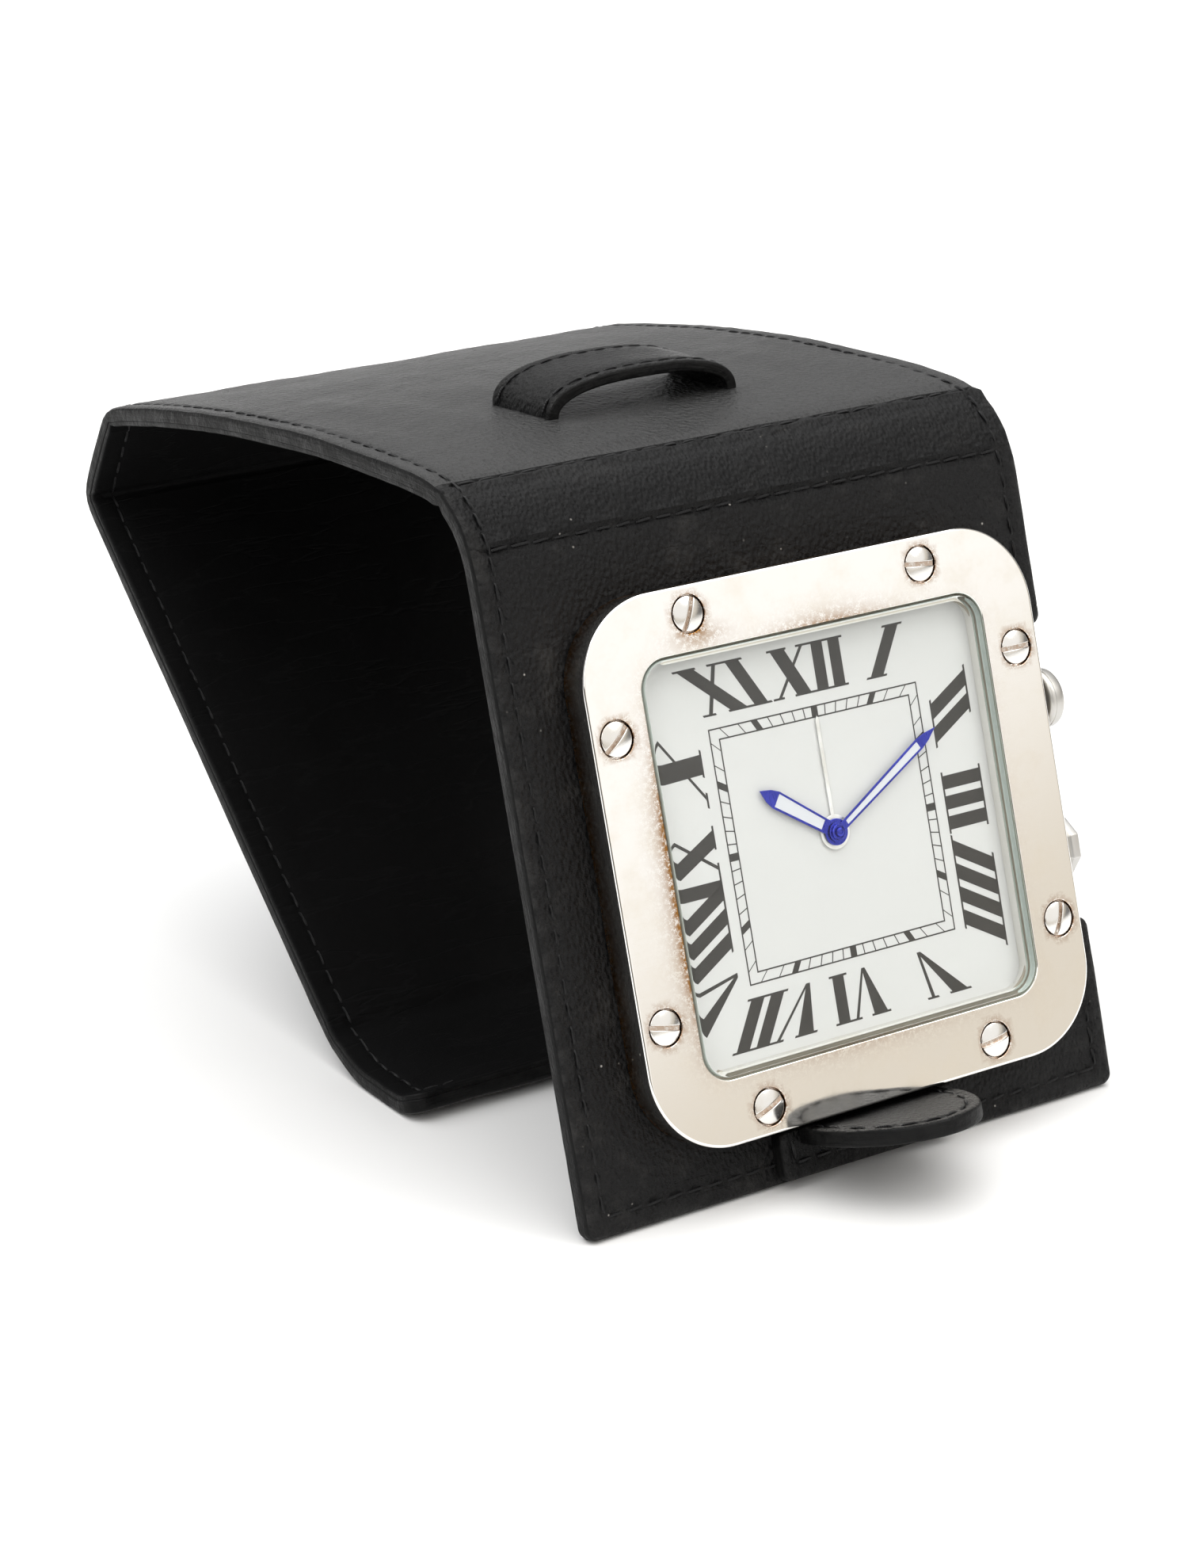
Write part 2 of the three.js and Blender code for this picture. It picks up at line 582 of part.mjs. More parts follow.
function control(name, place, knob) {
  const grip = knob(place.from, place.to).rotateY(Math.PI / 2).translate(0, place.y, CONTROL_Z);
  add(name, grip, material(COLORS.steel, 0.2, 1));
  const stem = disc(STEM.radius, STEM.innerEnd, place.from - GAP, 16);
  stem.rotateY(Math.PI / 2).translate(0, place.y, CONTROL_Z);
  add(`${name}_stem`, stem, material(COLORS.darkSteel, 0.3, 1));
}

function controls() {
  const round = (from, to) => turned([
    [0, from], [KNOB_RADIUS - 0.3, from], [KNOB_RADIUS, from + 0.4],
    [KNOB_RADIUS, to - 1], [KNOB_RADIUS - 0.5, to - 0.3], [KNOB_RADIUS - 1.4, to], [0, to],
  ]);
  control('alarm_button', BUTTON, round);
  const faceted = (from, to) => turned([
    [0, from], [KNOB_RADIUS - 0.3, from], [KNOB_RADIUS + 0.1, from + 0.5],
    [KNOB_RADIUS + 0.1, to - 0.9], [KNOB_RADIUS - 1.2, to], [0, to],
  ], CROWN.sides).rotateZ(Math.PI / CROWN.sides);
  control('setting_crown', CROWN, faceted);
}

// A straight slot in the rear face of the back cover's plane.
function rearSlot({ half, width, depth }, face) {
  return box(-half, half, -width / 2, width / 2, face - PAST, face + depth);
}

function back() {
  const steel = () => material(COLORS.steel, 0.3, 1);
  const at = COVER.screwAt;
  const corners = [[-at, at], [at, at], [at, -at], [-at, -at]];
  const through = [COVER.back - PAST, COVER.front + PAST];
  const holes = corners.map(([x, y]) => disc(COVER.screwHole, ...through, 12).translate(x, y, 0));
  const hatchHole = disc(HATCH.radius + HATCH.play, ...through).translate(HATCH.x, HATCH.y, 0);
  const cover = plate(square(BARREL.half, BARREL.round), COVER.back, COVER.front);
  add('back_cover', cut(cover, ...holes, hatchHole), steel());
  const screwBack = COVER.back + 0.05;
  corners.forEach(([x, y], i) => {
    const screw = cut(disc(COVER.screw, screwBack, COVER.front - 0.1, 12), rearSlot(DRIVER_SLOT, screwBack));
    add(`back_screw_${i + 1}`, screw, steel()).position.set(x, y, 0);
  });
  const lid = cut(disc(HATCH.radius, COVER.back, COVER.front), rearSlot(COIN_SLOT, COVER.back));
  add('battery_hatch', lid, steel()).position.set(HATCH.x, HATCH.y, 0);
  const front = -BOARD - GAP;
  const { outer, outerRound: round, inner, thickness } = CLAMP;
  const clamp = squareRing({ outer, round, inner, innerRound: BARREL.round, back: front - thickness, front });
  add('clamp_frame', clamp, material(COLORS.darkSteel, 0.4, 1));
}

leatherCase();
bezel();
caseBody();
crystalAndSurround();
dialAndHands();
motionWork();
movement();
controls();
back();

// ---- Set the case down on the table -------------------------------------------------------

clock.rotation.x = Math.PI / 2 - LEAN;
const assembly = new THREE.Group();
assembly.add(clock);
assembly.updateMatrixWorld(true);
const extent = new THREE.Box3().setFromObject(assembly, true);
const footing = extent.getCenter(new THREE.Vector3());
assembly.position.set(-footing.x, -footing.y, -extent.min.z);

export default assembly;
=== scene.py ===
"""Looks of a travel alarm clock in a folding leather easel case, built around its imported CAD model.

Shapes are laid out in millimetres in the clock's own frame: x to the right, y up along the dial,
z out of the dial, with the dial's centre on x = y = 0 and the face of the leather front panel on
z = 0. CLOCK turns that frame into the model's frame, in metres.
"""

import math

import bmesh
import bpy
import numpy as np
from mathutils import Matrix, Vector
from mathutils.geometry import delaunay_2d_cdt


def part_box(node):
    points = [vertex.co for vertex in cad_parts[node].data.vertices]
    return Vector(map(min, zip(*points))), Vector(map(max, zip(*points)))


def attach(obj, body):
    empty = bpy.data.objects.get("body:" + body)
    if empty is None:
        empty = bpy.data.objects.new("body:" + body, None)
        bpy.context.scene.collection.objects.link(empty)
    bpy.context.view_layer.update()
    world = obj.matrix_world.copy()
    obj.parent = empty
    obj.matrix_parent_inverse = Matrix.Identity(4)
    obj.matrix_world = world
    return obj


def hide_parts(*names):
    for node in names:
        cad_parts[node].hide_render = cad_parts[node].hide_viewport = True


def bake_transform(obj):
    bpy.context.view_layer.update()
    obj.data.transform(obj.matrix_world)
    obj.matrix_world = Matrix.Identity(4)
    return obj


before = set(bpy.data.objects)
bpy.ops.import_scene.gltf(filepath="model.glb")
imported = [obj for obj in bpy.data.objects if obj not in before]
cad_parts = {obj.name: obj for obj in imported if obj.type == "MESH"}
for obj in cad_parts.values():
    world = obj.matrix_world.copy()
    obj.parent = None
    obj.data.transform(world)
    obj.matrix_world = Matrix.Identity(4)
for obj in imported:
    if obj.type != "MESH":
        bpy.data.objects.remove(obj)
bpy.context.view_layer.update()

MM = 0.001

# ---- Sizes, in millimetres, in the clock's frame ----------------------------------------------

LEAN = math.radians(17)
DIAL_MIDDLE = 2.25

CASE_LEFT, CASE_RIGHT, CASE_BOTTOM = -47.3, 43.4, -46.0
CASE_MIDDLE = (CASE_LEFT + CASE_RIGHT) / 2
BOARD = 3.0
HIDE = 2.15
LINE_STEP = 0.3
SOFT_REACH = 60
FOLD_EASE = (("clock", "top_panel", 3.3), ("top_panel", "rear_panel", 1.9), ("rear_panel", "lip", 2.6))
SHARP_EDGE = math.radians(38)
FOLDS = {
    "front_low": (48.4, 0.0),
    "front_high": (55.9, -4.7),
    "rear_high": (73.7, -102.0),
    "rear_low": (61.0, -115.6),
    "lip": (-23.1, -65.6),
}
LIP_TIP = (-31.9, -42.4)
TOP_BOW = 3.1
LIP_HEEL, LIP_TOE = 0.3, 0.82
FRONT_EDGE_LIFT = 0.3
STITCH_INSET = 2.9
STITCH_PITCH = 3.3

NOTCH = {"depth": 6.0, "half": 21.3, "radius": 2.0, "corner": 1.6}
BARREL_HALF, BARREL_ROUND, BARREL_WALL, BARREL_BACK = 29.5, 8.0, 1.4, -4.5
CASE_HALF, CASE_ROUND = 37.5, 12.0
WINDOW_HALF, WINDOW_ROUND = 28.6, 4.2
BEZEL_BACK, BEZEL_FRONT = 4.0, 5.8
BODY_FRONT, BODY_BACK, BODY_STEP = 3.9, 0.3, 0.2
SHELL_INNER = (30.8, 6.2)
WEB = {"front": 1.1, "outer": (31.0, 6.4), "inner_round": 6.5}
BARREL_FRONT, BARREL_INNER_ROUND = 1.2, 6.6
SEAL = {"outer": (30.4, 5.0), "inner": (27.95, 5.0), "back": 3.72, "front": 3.9}
SURROUND = {"outer": (30.4, 5.2), "inner": (27.6, 3.2), "back": 2.56, "front": 3.66}
SURROUND_LIP = {"outer": (27.88, 3.45), "inner": (27.58, 3.2), "back": 3.5, "front": 4.2}
CRYSTAL = {"half": 28.3, "round": 3.9, "back": 4.25, "front": 6.1}
DIAL = {"half": 29.6, "back": 2.0, "front": 2.5, "hole": 2.1}
SCREW = {"radius": 2.4, "hole": 2.62, "along": 33.66, "offset": 19.45, "slot": 0.62, "top": 5.98}
SCREW_TURNS = [65, -6, 0, 68, 8, 22, -12, 40]
KNOB_RADIUS, CONTROL_Z = 4.3, 1.1
BUTTON = {"y": 11.0, "from": 38.7, "to": 41.6}
CROWN = {"y": -10.2, "from": 38.1, "to": 40.6}

KEEPER = {"half": 16.0, "height": 6.0, "thickness": 1.75, "depth": 15.0, "from_fold": 19.5}
STRAP = {"half": 12.0, "root_half": 15.0, "thickness": 2.4, "top": -38.3, "back": 2.6, "reach": 21.7}
STRAP["round_from"] = 5.7
STRAP_MIDDLE = -1.4


def placed(name, data):
    """A new object in the scene."""
    obj = bpy.data.objects.new(name, data)
    bpy.context.scene.collection.objects.link(obj)
    return obj


def clock_matrix():
    """The clock's frame, in millimetres, to the model's frame, in metres."""
    low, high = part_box("dial")
    tilt = Matrix.Rotation(math.pi / 2 - LEAN, 4, "X")
    scale = Matrix.Diagonal((MM, MM, MM, 1))
    return Matrix.Translation((low + high) / 2) @ tilt @ scale @ Matrix.Translation((0, 0, -DIAL_MIDDLE))


CLOCK = clock_matrix()
CLOCK_ARRAY = np.array(CLOCK)


def to_model(points):
    """Points of the clock's frame, as an (n, 3) array in mm, to the model's frame in metres."""
    return points @ CLOCK_ARRAY[:3, :3].T + CLOCK_ARRAY[:3, 3]


# ---- Camera, light and floor --------------------------------------------------------------------

VIEW_AZIMUTH, VIEW_DOWN, VIEW_ROLL = 33.49, 20.63, -0.27
VIEW_DISTANCE = 0.5796
VIEW_TARGET = (-0.00442, -0.00011, 0.03828)
VIEW_LENS = 90.96


def camera():
    data = bpy.data.cameras.new("camera")
    data.sensor_width = 36
    data.lens = VIEW_LENS
    data.clip_start = 0.01
    data.clip_end = 20
    eye = placed("camera", data)
    turn = Matrix.Rotation(-math.radians(VIEW_AZIMUTH), 4, "Z")
    tip = Matrix.Rotation(math.radians(90 - VIEW_DOWN), 4, "X")
    roll = Matrix.Rotation(math.radians(VIEW_ROLL), 4, "Z")
    back = Matrix.Translation((0, 0, VIEW_DISTANCE))
    eye.matrix_world = Matrix.Translation(VIEW_TARGET) @ turn @ tip @ roll @ back
    bpy.context.scene.camera = eye


def softbox(name, place, aim, width, height, power):
    data = bpy.data.lights.new(name, "AREA")
    data.shape = "RECTANGLE"
    data.size, data.size_y = width, height
    data.energy = power
    lamp = placed(name, data)
    lamp.location = place
    lamp.rotation_euler = (Vector(aim) - Vector(place)).to_track_quat("-Z", "Y").to_euler()


CARD_TOWARDS = (0.30, -0.75, 0.60)
CARD_FULL, CARD_GONE = 0.867, 0.815
CARD_GLOW_FULL, CARD_GLOW_GONE = 0.79, 0.68


def mixed(tree, share, first, second):
    """A colour mix whose inputs are sockets, colours or a number for the share."""
    node = tree.nodes.new("ShaderNodeMix")
    node.data_type = "RGBA"
    colours = [s for s in node.inputs if s.type == "RGBA"]
    for socket, value in zip([node.inputs["Factor"], *colours], (share, first, second)):
        if isinstance(value, bpy.types.NodeSocket):
            tree.links.new(value, socket)
        else:
            socket.default_value = (*value, 1) if socket in colours else value
    return next(s for s in node.outputs if s.type == "RGBA")


def sky():
    """A dim room in front, a white sweep behind, and a white card that the steel faces."""
    world = bpy.data.worlds.new("studio")
    bpy.context.scene.world = world
    world.use_nodes = True
    tree = world.node_tree
    direction = tree.nodes.new("ShaderNodeTexCoord").outputs["Generated"]

    def facing(towards, low, high):
        dot = tree.nodes.new("ShaderNodeVectorMath")
        dot.operation = "DOT_PRODUCT"
        tree.links.new(direction, dot.inputs[0])
        dot.inputs[1].default_value = Vector(towards).normalized()
        span = tree.nodes.new("ShaderNodeMapRange")
        span.interpolation_type = "SMOOTHSTEP"
        tree.links.new(dot.outputs["Value"], span.inputs["Value"])
        span.inputs["From Min"].default_value = low
        span.inputs["From Max"].default_value = high
        return span.outputs[0]

    depth = facing((0.0, 1.0, 0.35), -0.6, 0.7)
    room = mixed(tree, depth, (0.12, 0.118, 0.115), (0.50, 0.50, 0.50))
    warm = mixed(tree, facing(CARD_TOWARDS, CARD_GLOW_GONE, CARD_GLOW_FULL), room, (0.80, 0.735, 0.64))
    lit = mixed(tree, facing(CARD_TOWARDS, CARD_GONE, CARD_FULL), warm, (1.12, 1.10, 1.07))
    tree.links.new(lit, tree.nodes["Background"].inputs["Color"])


def studio():
    """The room, two soft boxes overhead and in front, and a pale floor."""
    bpy.context.scene.view_settings.view_transform = "Standard"
    sky()
    heart = (0, 0, 0.05)
    softbox("overhead", (-0.1, 0.6, 1.7), (-0.1, 0.6, 0), 3.0, 3.0, 62)
    softbox("front_left", (-0.75, -0.65, 0.65), heart, 0.6, 0.6, 2.2)
    softbox("front_right", (0.65, -0.75, 0.95), heart, 0.6, 0.5, 2.2)
    floor_mesh = bpy.data.meshes.new("floor")
    reach = 6.0
    corners = [(-reach, -reach, 0), (reach, -reach, 0), (reach, reach, 0), (-reach, reach, 0)]
    floor_mesh.from_pydata(corners, [], [(0, 1, 2, 3)])
    floor = placed("floor", floor_mesh)
    floor_mesh.materials.append(paper())


# ---- Material building blocks -------------------------------------------------------------------

class Shader:
    """One node material, built by short calls. Places are read in millimetres."""

    def __init__(self, name, built=True):
        self.material = bpy.data.materials.new(name)
        self.material.use_nodes = True
        self.tree = self.material.node_tree
        self.body = self.tree.nodes["Principled BSDF"]
        self.built = built
        self.place = self.attribute("place", "Vector") if built else self.model_place()

    def node(self, kind, **inputs):
        node = self.tree.nodes.new(kind)
        for name, value in inputs.items():
            self.feed(node, name, value)
        return node

    def feed(self, node, name, value):
        socket = node.inputs[int(name[1:])] if name[0] == "_" else node.inputs[name]
        if isinstance(value, bpy.types.NodeSocket):
            self.tree.links.new(value, socket)
        else:
            socket.default_value = value

    def attribute(self, name, output="Fac"):
        node = self.tree.nodes.new("ShaderNodeAttribute")
        node.attribute_name = name
        return node.outputs[output]

    def model_place(self):
        """A CAD node's own coordinates, in millimetres."""
        coordinates = self.tree.nodes.new("ShaderNodeTexCoord").outputs["Object"]
        scale = self.tree.nodes.new("ShaderNodeVectorMath")
        scale.operation = "SCALE"
        self.tree.links.new(coordinates, scale.inputs[0])
        scale.inputs["Scale"].default_value = 1 / MM
        return scale.outputs[0]

    def stretched(self, x, y, z):
        node = self.tree.nodes.new("ShaderNodeMapping")
        self.tree.links.new(self.place, node.inputs["Vector"])
        node.inputs["Scale"].default_value = (x, y, z)
        return node.outputs[0]

    def noise(self, size, detail=3.0, rough=0.55, vector=None, output="Fac"):
        node = self.node("ShaderNodeTexNoise", Scale=1 / size, Detail=detail, Roughness=rough)
        self.tree.links.new(vector or self.place, node.inputs["Vector"])
        return node.outputs[output]

    def cells(self, size, feature="F1", vector=None, output="Distance", chance=1.0):
        node = self.node("ShaderNodeTexVoronoi", Scale=1 / size, Randomness=chance)
        node.feature = feature
        self.tree.links.new(vector or self.place, node.inputs["Vector"])
        return node.outputs[output]

    def math(self, operation, first, second=0.0, clamp=False):
        node = self.tree.nodes.new("ShaderNodeMath")
        node.operation = operation
        node.use_clamp = clamp
        self.feed(node, "_0", first)
        self.feed(node, "_1", second)
        return node.outputs[0]

    def span(self, value, low, high, to_low=0.0, to_high=1.0):
        node = self.tree.nodes.new("ShaderNodeMapRange")
        node.interpolation_type = "SMOOTHSTEP"
        self.feed(node, "Value", value)
        for name, number in zip(("From Min", "From Max", "To Min", "To Max"), (low, high, to_low, to_high)):
            self.feed(node, name, number)
        return node.outputs[0]

    def mix(self, share, first, second):
        return mixed(self.tree, share, first, second)

    def bump(self, height, depth, strength=1.0, under=None):
        """depth is in millimetres of relief for a height of 1."""
        node = self.node("ShaderNodeBump", Height=height, Strength=strength, Distance=depth * MM)
        if under is not None:
            self.tree.links.new(under, node.inputs["Normal"])
        return node.outputs[0]

    def finish(self, **sockets):
        for name, value in sockets.items():
            name = name.replace("_", " ")
            if name == "Base Color" and not isinstance(value, bpy.types.NodeSocket):
                value = (*value, 1)
            self.feed(self.body, name, value)
        return self.material


def leather(name, base, shine, grain=0.75, relief=0.07, creases=0.05, dust=0.0, wear=0.25, gloss=0.5):
    """Dyed calf: pebbled grain, soft creases, worn paler edges and, where asked for, specks of dust."""
    s = Shader(name)
    stretched = s.stretched(1.0, 0.72, 1.0)
    pebbles = s.cells(grain, "SMOOTH_F1", stretched)
    fine = s.noise(grain * 0.35, 4, 0.6)
    crease = s.math("ABSOLUTE", s.math("SUBTRACT", s.noise(5.5, 2, 0.5, s.stretched(0.45, 1.6, 1.0)), 0.5))
    crease = s.span(crease, 0.0, 0.035, 1.0, 0.0)
    patch = s.noise(11, 3, 0.6)
    tone = s.mix(patch, [c * 0.7 for c in base], [c * 1.2 for c in base])
    mottle = s.span(s.noise(grain * 0.7, 5, 0.75), 0.36, 0.68)
    tone = s.mix(mottle, tone, s.mix(patch, [c * 1.4 for c in base], [c * 2.1 for c in base]))
    rub = s.math("MULTIPLY", s.attribute("edge"), s.span(s.noise(2.2, 4), 0.4, 0.65))
    tone = s.mix(s.math("MULTIPLY", rub, wear), tone, (0.09, 0.088, 0.085))
    rough = s.math("ADD", shine, s.math("MULTIPLY", s.math("SUBTRACT", patch, 0.5), 0.16))
    rough = s.math("ADD", rough, s.math("MULTIPLY", s.math("SUBTRACT", fine, 0.5), 0.45))
    if dust:
        speck = s.span(s.cells(1.9), 0.05, 0.11, 1.0, 0.0)
        chosen = s.span(s.cells(1.9, output="Color"), 0.62, 0.66)
        flecks = s.math("MULTIPLY", s.math("MULTIPLY", speck, chosen), s.span(s.noise(14, 2), 0.45, 0.62))
        haze = s.math("MULTIPLY", s.span(s.noise(9, 5, 0.7), 0.5, 0.8), 0.05)
        tone = s.mix(s.math("MULTIPLY", s.math("ADD", flecks, haze, True), dust), tone, (0.42, 0.4, 0.37))
    height = s.math("ADD", s.math("MULTIPLY", pebbles, 1.0), s.math("MULTIPLY", fine, 0.45))
    normal = s.bump(height, relief)
    normal = s.bump(crease, -creases, under=normal)
    return s.finish(Base_Color=tone, Roughness=rough, Normal=normal, Specular_IOR_Level=gloss)


def edge_paint():
    """Edges sealed with several coats of paint, rubbed a little paler in random patches."""
    s = Shader("edge_paint")
    layers = s.noise(0.45, 3, 0.6, s.stretched(0.06, 0.06, 1.0))
    smear = s.noise(3.0, 4, 0.6)
    tone = s.mix(s.span(smear, 0.35, 0.7), (0.0018, 0.0018, 0.002), (0.006, 0.006, 0.0059))
    rough = s.span(smear, 0.3, 0.7, 0.38, 0.6)
    normal = s.bump(s.math("ADD", layers, s.noise(0.9, 3)), 0.16)
    return s.finish(Base_Color=tone, Roughness=rough, Normal=normal, Specular_IOR_Level=0.16)


def lining_hide():
    """Thin lining hide: dull, finely napped, with long soft creases."""
    s = Shader("lining_hide")
    nap = s.noise(0.35, 4, 0.65)
    crease = s.math("ABSOLUTE", s.math("SUBTRACT", s.noise(7, 3, 0.55, s.stretched(0.3, 1.5, 1)), 0.5))
    crease = s.span(crease, 0.0, 0.03, 1.0, 0.0)
    patch = s.noise(15, 3)
    tone = s.mix(patch, (0.0013, 0.0013, 0.0014), (0.003, 0.003, 0.0032))
    tone = s.mix(s.math("MULTIPLY", crease, 0.15), tone, (0.009, 0.009, 0.009))
    rough = s.span(patch, 0.3, 0.7, 0.62, 0.78)
    normal = s.bump(crease, -0.07, under=s.bump(nap, 0.05))
    return s.finish(Base_Color=tone, Roughness=rough, Normal=normal, Specular_IOR_Level=0.1)


def thread():
    """Waxed black sewing thread with its ply showing."""
    s = Shader("thread")
    wave = s.node("ShaderNodeTexWave", Scale=1.5, Distortion=1.2)
    s.tree.links.new(s.place, wave.inputs["Vector"])
    tone = s.mix(wave.outputs["Fac"], (0.0025, 0.0025, 0.003), (0.009, 0.009, 0.0095))
    rough = s.span(s.noise(0.5, 2), 0.3, 0.7, 0.36, 0.56)
    normal = s.bump(wave.outputs["Fac"], 0.06)
    return s.finish(Base_Color=tone, Roughness=rough, Normal=normal, Specular_IOR_Level=0.3)


def steel(name, base=(0.86, 0.84, 0.80), shine=0.1, brush=0.0, tarnished_and_shaded=False, built=True):
    """Polished steel: faint hairlines and fingermarks, and brown tarnishing creeping out of the joints,
    which round the screw holes is partly painted shade.
    """
    s = Shader(name, built)
    hair = s.noise(0.16, 3, 0.6, s.stretched(0.03, 1.0, 1.0))
    swirl = s.noise(0.16, 3, 0.6, s.stretched(1.0, 0.05, 1.0))
    marks = s.noise(6.5, 4, 0.62)
    rough = s.span(marks, 0.35, 0.75, shine, shine + 0.07)
    rough = s.math("ADD", rough, s.math("MULTIPLY", s.span(hair, 0.6, 0.8), 0.05 + brush))
    tone = s.mix(s.span(marks, 0.4, 0.8), base, [c * k for c, k in zip(base, (0.96, 0.94, 0.9))])
    if tarnished_and_shaded:
        # The brown is tarnishing, and round the screw holes it is also painted shade in the gaps.
        creep = s.math("MULTIPLY", s.attribute("tarnish_and_shade"), s.span(s.noise(0.7, 6, 0.8), 0.38, 0.55))
        spots = s.math("MULTIPLY", s.attribute("tarnish_and_shade"), s.span(s.noise(0.25, 4, 0.65), 0.5, 0.62))
        brown = s.math("MAXIMUM", creep, spots)
        tone = s.mix(s.math("MULTIPLY", brown, 1.5, True), tone, (0.33, 0.155, 0.04))
        rough = s.math("ADD", rough, s.math("MULTIPLY", brown, 0.25))
    relief = s.math("ADD", s.math("MULTIPLY", hair, 0.4 + brush * 3), s.math("MULTIPLY", swirl, 0.3))
    normal = s.bump(relief, 0.0012 + brush * 0.006)
    return s.finish(Base_Color=tone, Roughness=rough, Normal=normal, Metallic=1.0)


def tinted_metal(name, base, shine=0.3, built=True):
    """A small plated or blued metal part with slight colour bands and fine scratches."""
    s = Shader(name, built)
    band = s.noise(3.5, 3)
    scratch = s.noise(0.12, 2, 0.6, s.stretched(1.0, 0.08, 1.0))
    tone = s.mix(s.span(band, 0.3, 0.7), [c * 0.85 for c in base], [min(1, c * 1.15) for c in base])
    rough = s.span(scratch, 0.3, 0.75, shine, shine + 0.14)
    return s.finish(Base_Color=tone, Roughness=rough, Normal=s.bump(scratch, 0.002), Metallic=1.0)


def enamel(name, base, shine=0.42, speckle=0.03, built=True):
    """Lacquer, printing ink or moulded plastic: an even colour with a fine orange-peel surface."""
    s = Shader(name, built)
    tooth = s.noise(0.3, 3)
    cloud = s.noise(9, 2)
    low = [c * (1 - speckle) for c in base]
    high = [min(1.0, c * (1 + speckle)) for c in base]
    tone = s.mix(cloud, low, high)
    rough = s.span(tooth, 0.3, 0.7, shine, shine + 0.08)
    return s.finish(Base_Color=tone, Roughness=rough, Normal=s.bump(tooth, 0.006))


def glass():
    """Mineral glass with a faint green body, clean but for a few greasy marks."""
    s = Shader("crystal_pane")
    smear = s.span(s.noise(7, 4, 0.65), 0.62, 0.9, 0.0, 0.02)
    return s.finish(
        Base_Color=(0.97, 0.985, 0.978),
        Roughness=smear,
        Transmission_Weight=1.0,
        IOR=1.24,
    )


def paper():
    s = Shader("floor_paper", built=False)
    tone = s.mix(s.noise(60, 2), (0.86, 0.86, 0.855), (0.89, 0.89, 0.885))
    return s.finish(Base_Color=tone, Roughness=0.9, Specular_IOR_Level=0.2)


# ---- Meshes -------------------------------------------------------------------------------------

def rounded(half_x, half_y, radius, centre=(0.0, 0.0), step=6):
    """A rounded rectangle, counter-clockwise, as an (n, 2) array."""
    turns = [math.radians(a) for a in range(0, 91, step)]
    points = []
    corners = [(1, 1), (-1, 1), (-1, -1), (1, -1)]
    for quarter, (sx, sy) in enumerate(corners):
        cx, cy = centre[0] + sx * (half_x - radius), centre[1] + sy * (half_y - radius)
        for turn in turns:
            angle = turn + quarter * math.pi / 2
            points.append((cx + radius * math.cos(angle), cy + radius * math.sin(angle)))
    return np.array(points)


def ring(radius, centre=(0.0, 0.0), count=48):
    angles = np.linspace(0, 2 * math.pi, count, endpoint=False)
    return np.stack([centre[0] + radius * np.cos(angles), centre[1] + radius * np.sin(angles)], 1)


def lengths(line):
    """The distance along a polyline of each of its points."""
    return np.concatenate([[0], np.cumsum(np.linalg.norm(np.diff(line, axis=0), axis=1))])


def sampled(at, steps, line):
    """Points of a polyline at some distances along it, steps being those of its own points."""
    return np.column_stack([np.interp(at, steps, line[:, k]) for k in (0, 1)])


def leftward(runs):
    """Each run turned a quarter to the left."""
    return np.stack([-runs[:, 1], runs[:, 0]], 1)


def divided(loop, spacing):
    """The loop with its long edges divided."""
    points = []
    for a, b in zip(loop, np.roll(loop, -1, 0)):
        count = max(1, int(round(np.linalg.norm(b - a) / spacing)))
        points += [a + (b - a) * i / count for i in range(count)]
    return np.array(points)


def insets(loop, open_ends):
    """For each vertex the move that takes its edges in by 1 mm. Edges on an open end stay put."""
    edge = np.roll(loop, -1, 0) - loop
    edge /= np.linalg.norm(edge, axis=1)[:, None]
    inward = leftward(edge)
    weight = np.ones(len(loop))
    for level in open_ends:
        on_end = (abs(loop[:, 1] - level) < 1e-6) & (abs(np.roll(loop, -1, 0)[:, 1] - level) < 1e-6)
        weight[on_end] = 0
    before, weight_before = np.roll(inward, 1, 0), np.roll(weight, 1)
    cross = before[:, 0] * inward[:, 1] - before[:, 1] * inward[:, 0]
    flat = abs(cross) < 1e-3
    cross = np.where(flat, 1, cross)
    x = (weight_before * inward[:, 1] - weight * before[:, 1]) / cross
    y = (before[:, 0] * weight - inward[:, 0] * weight_before) / cross
    straight = inward * ((weight + weight_before) / 2)[:, None]
    return np.where(flat[:, None], straight, np.stack([x, y], 1))


def inside(points, loops):
    """Even-odd test of points against all the loops together."""
    odd = np.zeros(len(points), bool)
    px, py = points[:, 0], points[:, 1]
    for loop in loops:
        for (x0, y0), (x1, y1) in zip(loop, np.roll(loop, -1, 0)):
            if y0 == y1:
                continue
            crosses = ((y0 > py) != (y1 > py)) & (px < (x1 - x0) * (py - y0) / (y1 - y0) + x0)
            odd ^= crosses
    return odd


def distance(points, lines):
    """Each point's distance to the nearest of some polylines."""
    best = np.full(len(points), 1e9)
    for line in lines:
        for a, b in zip(line[:-1], line[1:]):
            run = b - a
            share = np.clip((points - a) @ run / max(run @ run, 1e-12), 0, 1)
            best = np.minimum(best, np.linalg.norm(points - a - share[:, None] * run, axis=1))
    return best


def closed(loop):
    return np.vstack([loop, loop[:1]])


